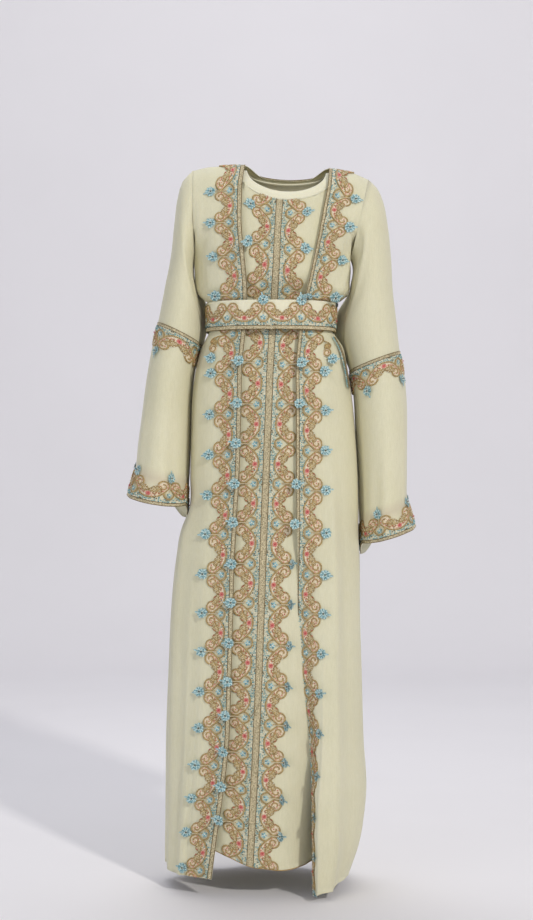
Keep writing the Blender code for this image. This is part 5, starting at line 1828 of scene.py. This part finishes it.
def make_camera():
    camera = bpy.data.cameras.new("camera")
    camera.sensor_fit = "VERTICAL"
    camera.angle = 2 * math.atan(PICTURE_TALL * PIXEL_SIZE / 2 / abs(CAMERA_PLACE[1]))
    camera.shift_x = (PICTURE_WIDE / 2 - MIDDLE_PIXEL) / PICTURE_TALL
    holder = shown("camera", camera)
    holder.location = CAMERA_PLACE
    holder.rotation_euler = (math.radians(90), 0, 0)
    bpy.context.scene.camera = holder


def studio_paper():
    material, tree, shader = new_material("studio paper")
    settle(shader, {"Roughness": PAPER_ROUGH})
    colour = rgb(*PAPER)
    shade = tuple(part * PAPER_SHADE for part in colour)
    cloud = noise(tree, scale=1.4, detail=3.0)
    tree.links.new(blend(tree, cloud, colour, shade), shader.inputs["Base Color"])
    return material


def make_studio():
    """A pale floor that rises into a backdrop, a soft key light at the front right and a wide fill."""
    turns = np.linspace(SWEEP_START, math.pi / 2, SWEEP_STEPS)
    profile = [(-STUDIO_REACH, FLOOR), (WALL_FOOT, FLOOR)]
    for turn in turns:
        profile.append((WALL_FOOT + SWEEP * math.sin(turn), FLOOR + SWEEP * (1.0 - math.cos(turn))))
    profile += [(WALL_FOOT + SWEEP, WALL_TOP)]
    points = [(x, y, z) for y, z in profile for x in (-STUDIO_REACH, STUDIO_REACH)]
    faces = [(2 * row, 2 * row + 1, 2 * row + 3, 2 * row + 2) for row in range(len(profile) - 1)]
    mesh = bpy.data.meshes.new("studio")
    mesh.from_pydata(points, [], faces)
    mesh.polygons.foreach_set("use_smooth", np.ones(len(faces), bool))
    mesh.materials.append(studio_paper())
    shown("studio", mesh)
    for lamp in LAMPS:
        light = bpy.data.lights.new(lamp.name, "AREA")
        light.size = lamp.size
        light.energy = lamp.power
        light.color = lamp.colour
        holder = shown(lamp.name, light)
        holder.location = lamp.place
        way = mathutils.Vector(lamp.aim) - mathutils.Vector(lamp.place)
        holder.rotation_euler = way.to_track_quat("-Z", "Y").to_euler()
    world = bpy.data.worlds.new("studio light")
    world.use_nodes = True
    settle(world.node_tree.nodes["Background"], {"Color": SKY, "Strength": SKY_POWER})
    bpy.context.scene.world = world
    bpy.context.scene.view_settings.view_transform = "Standard"


LENGTHS = ("hem", "skirt", "chest", "shoulder")
SIDES = ("left", "right")
Cut = namedtuple("Cut", "width length area")
# Distances from the cuff at which the cloth starts to be sheer, is sheer, and is plain again.
# Where it is sheer, the crepe is tinted with painted shade of the sleeve's inside.
CUFF_SHEER = (0.034, 0.046, 0.056, 0.068)


def cloth_piece(name, grid, normals, closed, nodes, finish="crepe", wall=CLOTH, sheer=None):
    pile = Pile()
    shell(pile, grid, normals, wall, closed, finish, sheer)
    return make_piece(name, pile, nodes)


# How a raised flower is placed: how high it is lifted, how far it is tipped, and how much farther out it is.
Placing = namedtuple("Placing", "lift tilt drop")
PLAIN = Placing(1.0, 0.0, 0.0)
OVER_BELT = Placing(6.0, 0.0, 0.0)
STANDING = Placing(4.0, 56.0, -2.0)
OVER_BELT_FROM = BELT_TOP - 0.02
STANDING_BELOW = -0.790
ARM_SIDE = -0.80

# Where on a strip a flower is looked at, how near the robe's edge it has to be to clear it, and by how much.
NEAR_FLOWER = 0.05
CENTRE_FLOWER = 0.056
BELT_FLOWERS_HALF = 0.075
EDGE_NEAR = 14.0
EDGE_CLEAR = 7.0

# Each lace: the width of its own braid, how far it is drawn in, and how far out its raised flowers are.
# The centre laces end short of the shoulder.
EDGE_BRAIDS = {"left": 0.0085, "right": 0.0065}
SLEEVE_BRAID = 0.0065
BELT_BRAID = 0.008
EDGE_SHRINK = 0.90
CENTRE_SHRINK = 0.98
SLEEVE_SHRINK = 0.87
BELT_SHRINK = 0.91
EDGE_FLOWERS = {"left": 53.0, "right": 51.5}
CENTRE_FLOWERS = {"left": 52.0, "right": 52.5}
RING_FLOWERS = 51.0
CENTRE_SHORT = 0.005


def along_robe_edge(strip):
    """Raised flowers on the robe's edges: the ones just above the belt stand over it."""

    def place(junction):
        height = strip.spots(junction, NEAR_FLOWER, 0.0)[2]
        return OVER_BELT if OVER_BELT_FROM < height < FLAT_ABOVE else PLAIN

    return place


def over_robe_edge(strip, edge, sign):
    """Flowers of a centre lace: one that meets the robe's edge lies over it, or stands up against it."""
    rising = edge[np.argsort(edge[:, 2])]

    def place(junction):
        spot = strip.spots(junction, CENTRE_FLOWER, 0.0)
        edge_x, edge_y = (np.interp(spot[2], rising[:, 2], rising[:, axis]) for axis in (0, 1))
        if sign < 0 and spot[2] < STANDING_BELOW:
            return STANDING
        if (spot[0] - edge_x) * sign * MM_A_METRE < EDGE_NEAR:
            return PLAIN._replace(lift=max(1.0, (spot[1] - edge_y) * MM_A_METRE + EDGE_CLEAR))
        return PLAIN

    return place


def along_belt(strip):
    """The belt's raised flowers: in front only the two beside the middle, and all of them behind."""

    def place(junction):
        spot = strip.spots(junction, NEAR_FLOWER, 0.0)
        far = abs(spot[0] - CENTRE_LINE[-3].x) > BELT_FLOWERS_HALF
        return None if spot[1] < 0.0 and far else PLAIN

    return place


def away_from_body(strip):
    """Flowers round a sleeve, but none where the arm rests beside the body."""

    def place(junction):
        spot = strip.spots(junction, NEAR_FLOWER, 0.0)
        out = strip.at(strip.normals, junction % strip.total)
        return None if out[0] * math.copysign(1.0, spot[0]) < ARM_SIDE else PLAIN

    return place


# What hangs below the belt: the row of the flower, how far out it is, and how far out and above its curl is.
Hanging = namedtuple("Hanging", "row flower curl above")
HANGING = {
    "left": Hanging(357.0, 54.5, 53.0, 20.0),
    "right": Hanging(358.0, 65.5, 53.5, 13.0),
}
HANGING_LIFT = 3.0
CURL_SIZES = ((0.0, 1.0, "ivory"), (13.5, 0.85, "khaki"))
CURL_HEIGHT = 0.9
CURL_DOT = 1.4
CURL_DOT_OUT = 3.6
CURL_STEM = ((14.0, -12.0), (4.0, 5.0), (-10.0, -7.5))
CURL_REACH = 8.2
CURL_EYE = 2.4
CURL_TURN = math.radians(520.0)
CURL_POINTS = 32


def sew_hanging(lace, side, pile, dice):
    """One more flower with a gold curl above it, where the lace comes out from under the belt."""
    hanging = HANGING[side]
    strip = lace.strip
    junction = float(np.interp(height_of_row(hanging.row), strip.first[:, 2], strip.places))
    flower = make_flower(dice).moved(lambda points: points + [0.0, hanging.flower, HANGING_LIFT])
    lace.lay(pile, flower, junction)
    curl = Pile()
    turn = np.linspace(0.0, CURL_TURN, CURL_POINTS)
    for along, size, finish in CURL_SIZES:
        reach = size * (CURL_REACH - (CURL_REACH - CURL_EYE) * turn / turn[-1])
        middle = (hanging.above + along, hanging.curl)
        mound(curl, middle, size * CURL_REACH, size * CURL_REACH, 0.0, CURL_HEIGHT, finish)
        spots = np.stack([middle[0] + reach * np.cos(turn), middle[1] + reach * np.sin(turn)], axis=1)
        cord(curl, spots, HANGING_CURL, taper=True)
        bead(curl, (middle[0], middle[1] + CURL_DOT_OUT * size, CURL_DOT), CURL_DOT, "red")
    top = hanging.above + CURL_SIZES[-1][0]
    stem = [(top + above, hanging.curl + out) for above, out in CURL_STEM]
    cord(curl, smooth_path(np.array(stem), SCROLL_STEP), HANGING_STEM, taper=True)
    thread = [(hanging.above - 6.0, hanging.curl + 2.0), (3.0, hanging.flower)]
    cord(curl, smooth_path(np.array(thread), SCROLL_STEP), HANGING_THREAD)
    lace.lay(pile, curl, junction)


def make_body():
    """The cloth of both layers, and for each panel its fine grid and where the trims lie on it."""
    pieces, grids = {}, {}

    def panel(name, cloth, nodes):
        grid, normals, marks = cloth
        pieces[name] = cloth_piece(name, grid, normals, False, nodes)
        grids[name] = (grid, marks)

    panel("inner_front", inner_front_cloth(), [f"inner_{length}_front" for length in LENGTHS])
    panel("inner_back", back_cloth(INNER, "inner_back", inner_back_coarse()), back_nodes("inner"))
    for side in SIDES:
        panel(f"robe_front_{side}", robe_front_cloth(side), [f"robe_{length}_{side}" for length in LENGTHS])
    panel("robe_back", back_cloth(ROBE, "robe_back", robe_back_grid()), back_nodes("robe"))
    for side in SIDES:
        grid, normals, row_at = sleeve_cloth(side)
        from_cuff = running(np.linalg.norm(np.diff(grid[::-1], axis=0), axis=2).mean(axis=1))[::-1]
        # How sheer each ring is near the cuff: the crepe finish tints it with painted shade of the sleeve's
        # inside.
        low, full, fade, clear = CUFF_SHEER
        mask = smooth_step(low, full, from_cuff) * (1.0 - smooth_step(fade, clear, from_cuff))
        sheer = np.broadcast_to(mask[:, None], grid.shape[:2])
        name = f"sleeve_{side}"
        nodes = [f"sleeve_upper_{side}", f"sleeve_lower_{side}"]
        pieces[name] = cloth_piece(name, grid, normals, True, nodes, sheer=sheer)
        grids[name] = (grid, row_at)
    return pieces, grids


def back_nodes(layer):
    return [f"{layer}_{length}_back_{side}" for length in LENGTHS for side in SIDES]


# The band round the neck: its rows across, how far they rise, and the points between two of its coarse ones.
NECK_BAND_SHARES = np.array([0.0, 0.2, 0.4, 0.6, 0.8, 1.0, 1.3])
NECK_BAND_CROWN = 0.0011
NECK_BAND_POINTS = 8


def make_neck_band_cloth():
    """The paler band round the neck: a little crowned, with a groove where it is sewn down."""
    rails = []
    for share in NECK_BAND_SHARES:
        half, more = NECK_HALF + share * NECK_BAND, share * NECK_BAND
        rail = []
        for drop, shares, back in (
            (NECK_DROP, (-1.0, *FRONT_NECK_SHARES, 1.0), False),
            (NECK_BACK_DROP, BACK_NECK_SHARES[::-1], True),
        ):
            rail += [neck_point(INNER, spot, half, drop + more, back)[0] for spot in shares]
        rails.append(rail)
    coarse = wrapped(np.array(rails))
    places = np.arange(coarse.shape[1], dtype=float)
    inside = places[WRAP:-WRAP]
    fine = between(inside, [NECK_BAND_POINTS] * (len(inside) - 1))[:-1]
    grid = smooth_curve(places, coarse.swapaxes(0, 1), fine).swapaxes(0, 1)
    normals = np.array([[neck_normal(spot) for spot in ring] for ring in grid])
    crown = np.sin(np.pi * NECK_BAND_SHARES / NECK_BAND_SHARES[-1]) * NECK_BAND_CROWN
    crown += BAND_LAP * smooth_step(0.0, 1.0, NECK_BAND_SHARES)
    grid = grid + normals * crown[:, None, None]
    return cloth_piece("neck_band_cloth", grid, normals, True, ["neck_band"], "band", BAND_CLOTH)


# The rows of the belt: the share of its height, and how far each stands out, with a seam near the top.
BeltRow = namedtuple("BeltRow", "share rise")
BELT_ROWS = rows_of(
    BeltRow,
    (0.0, 0.0), (0.02, 0.0002), (0.5, 0.0002), (0.86, 0.0003),
    (0.9, -0.0002), (0.94, 0.0004), (1.0, -0.0001),
)


def make_belt_cloth():
    rings = []
    for row in BELT_ROWS:
        height = BELT_LOW + row.share * (BELT_TOP - BELT_LOW)
        rings.append(belt_ring(height, BELT_CLEAR + BAND_CLOTH + row.rise))
    grid = np.array(rings)
    normals = normals_of(grid, True, None)
    return cloth_piece("belt_cloth", grid, normals, True, ["belt_band"], "band", BAND_CLOTH)


# The short strip on the right hip, from the belt down, by x and z. Its width is toward the middle.
HipSpot = namedtuple("HipSpot", "x z")
HIP_STRIP = rows_of(HipSpot, (0.1090, -0.3450), (0.1225, -0.3720), (0.1325, -0.4085), (0.1390, -0.4490))
HIP_WIDTH = -0.0065
HIP_STEP = 0.006
HIP_SEAT = 0.0012
HIP_BRAID = 0.0035
HIP_BEAD_STEP = 1.9
HIP_BEAD_ROWS = (4.4, 6.0)
HIP_BEAD_SEAT = 0.3
HIP_BEAD_SIZES = (0.75, 1.0)
HIP_ODDS = {"blue_bead": 0.7, "white_bead": 0.3}
NEAREST = 6


def surface_point(grid, x, z):
    """The front of a panel at one place across and up."""
    row = int(np.argmin(np.abs(grid[:, :, 2].mean(axis=1) - z)))
    near = np.argsort(np.abs(grid[row, :, 0] - x))[:NEAREST]
    return np.array([x, grid[row, near, 1].min(), z])


def hip_strip(pile, grid, dice):
    """The short braid and row of beads that hangs from the belt on the right hip."""
    path = smooth_path(np.array([surface_point(grid, spot.x, spot.z) for spot in HIP_STRIP]), HIP_STEP)
    path[:, 1] -= HIP_SEAT
    side = path + np.array([HIP_WIDTH, 0.0, 0.0])
    side[:, 1] = [surface_point(grid, spot[0], spot[2])[1] - HIP_SEAT for spot in side]
    strip = Strip(path, side, False, AHEAD, abs(HIP_WIDTH))
    plait(pile, strip, 0.0, HIP_BRAID, HIP_PLAIT)
    row = Pile()
    for step in range(int(strip.total * MM_A_METRE / HIP_BEAD_STEP)):
        for across in HIP_BEAD_ROWS:
            finish = picked(dice, HIP_ODDS)
            spot = ((step + 0.5) * HIP_BEAD_STEP, across, HIP_BEAD_SEAT)
            bead(row, spot, dice.uniform(*HIP_BEAD_SIZES), finish)
    lay(pile, strip, row, 0.0, 0.0)


def make_trims(grids, dice):
    """All that is sewn on, by the name of the CAD piece that it stands for."""
    made = {}

    def sew(name, lace, flower_place, extra=None):
        pile = Pile()
        sew_lace(lace, pile, dice, flower_place)
        if extra:
            extra(pile)
        made[name] = make_piece(f"{name}_sewn", pile, [name])

    inner, inner_at = grids["inner_front"]
    for side, sign, cells in zip(SIDES, (1.0, -1.0), LACE_CELLS):
        grid, (edge, beyond) = grids[f"robe_front_{side}"]
        name = f"edge_lace_{side}"
        strip = Strip(grid[:, edge], grid[:, beyond], False, AHEAD)
        lace = Lace(strip, name, EDGE_BRAIDS[side], EDGE_SHRINK, EDGE_FLOWERS[side])
        sew(name, lace, along_robe_edge(strip), lambda pile: sew_hanging(lace, side, pile, dice))
        outer, first = (inner_at[cell] for cell in cells)
        name = f"centre_lace_{side}"
        strip = Strip(inner[:, first], inner[:, outer], False, AHEAD)
        lace = Lace(strip, name, 0.0, CENTRE_SHRINK, CENTRE_FLOWERS[side], CENTRE_SHORT)
        sew(name, lace, over_robe_edge(strip, grid[:, edge], sign))
        sleeve, row_at = grids[f"sleeve_{side}"]
        elbow = ELBOW_RING[side]
        for place, near, far in (("elbow", row_at[elbow], row_at[elbow + 1]), ("cuff", -1, row_at[-2])):
            name = f"{place}_lace_{side}"
            strip = Strip(sleeve[near], sleeve[far], True, None)
            sew(name, Lace(strip, name, SLEEVE_BRAID, SLEEVE_SHRINK, RING_FLOWERS), away_from_body(strip))
    made["centre_braid"] = make_centre_braid(inner, inner_at)
    strip = belt_strip()
    lace = Lace(strip, "belt_lace", BELT_BRAID, BELT_SHRINK, RING_FLOWERS)
    robe = grids["robe_front_right"][0]
    sew("belt_lace", lace, along_belt(strip), lambda pile: hip_strip(pile, robe, dice))
    made["back_neck_braid"] = make_back_braid()
    made["hem_cord"] = make_hem_cord(grids)
    return made


def belt_strip():
    """Where the lace of the belt lies: it reaches past the top of the band as far as the lace is wide."""
    low, high = (belt_ring(height, BELT_CLEAR + BAND_CLOTH) for height in (BELT_LOW, BELT_TOP))
    return Strip(low, low + (high - low) * (LACE_WIDTH / (BELT_TOP - BELT_LOW)), True, None)


def braid_piece(name, strip, width, kind):
    pile = Pile()
    plait(pile, strip, BRAID_IN, width - BRAID_IN, kind)
    return make_piece(f"{name}_sewn", pile, [name])


def make_centre_braid(inner, inner_at):
    first, second = (inner[:, inner_at[cells[1]]] for cells in LACE_CELLS)
    strip = Strip(first, second, False, AHEAD, CENTRE_BRAID)
    return braid_piece("centre_braid", strip, CENTRE_BRAID, CENTRE_PLAIT)


# The way out of the back neck, and the points and the lift of its braid.
BACK_NECK_WAY = np.array([0.0, 0.75, 0.65])
BACK_NECK_POINTS = 31
BACK_NECK_LIFT = 0.0012


def make_back_braid():
    """A narrow plait round the back neck of the robe."""
    low, high = [], []
    for share in -np.cos(np.pi * (np.arange(BACK_NECK_POINTS) + 0.5) / BACK_NECK_POINTS):
        for rail, out in ((low, 0.0), (high, BACK_NECK_BRAID)):
            spot = neck_point(ROBE, share, ROBE_NECK_HALF + out, ROBE_NECK_DROP + out, True)[0]
            rail.append(spot + BACK_NECK_WAY * BACK_NECK_LIFT)
    strip = Strip(np.array(low), np.array(high), False, BACK_NECK_WAY, BACK_NECK_BRAID)
    return braid_piece("back_neck_braid", strip, BACK_NECK_BRAID, BACK_NECK_PLAIT)


HEM_LEAST_STEP = 0.003
HEM_STEP = 5.0


def make_hem_cord(grids):
    """The thin golden edge of the inner dress, all round its hem."""
    ring = np.concatenate([grids["inner_front"][0][0], grids["inner_back"][0][0][::-1]])
    kept = [0]
    for index in range(1, len(ring)):
        if np.linalg.norm(ring[index] - ring[kept[-1]]) > HEM_LEAST_STEP:
            kept.append(index)
    part = Pile()
    cord(part, smooth_path(closed_rail(ring[kept] * MM_A_METRE), HEM_STEP), HEM_CORD)
    return make_piece("hem_cord_sewn", part.moved(lambda points: points * MILLI), [])


def main():
    make_camera()
    make_materials()
    dice = np.random.default_rng(SEED)
    SCROLLS.extend(make_scroll(dice) for _ in range(VARIANTS))
    BORDERS.extend(make_border(dice) for _ in range(VARIANTS))
    pieces, grids = make_body()
    pieces["neck_band_cloth"] = make_neck_band_cloth()
    pieces["belt_cloth"] = make_belt_cloth()
    trims = make_trims(grids, dice)
    make_studio()
    bpy.context.view_layer.update()


main()
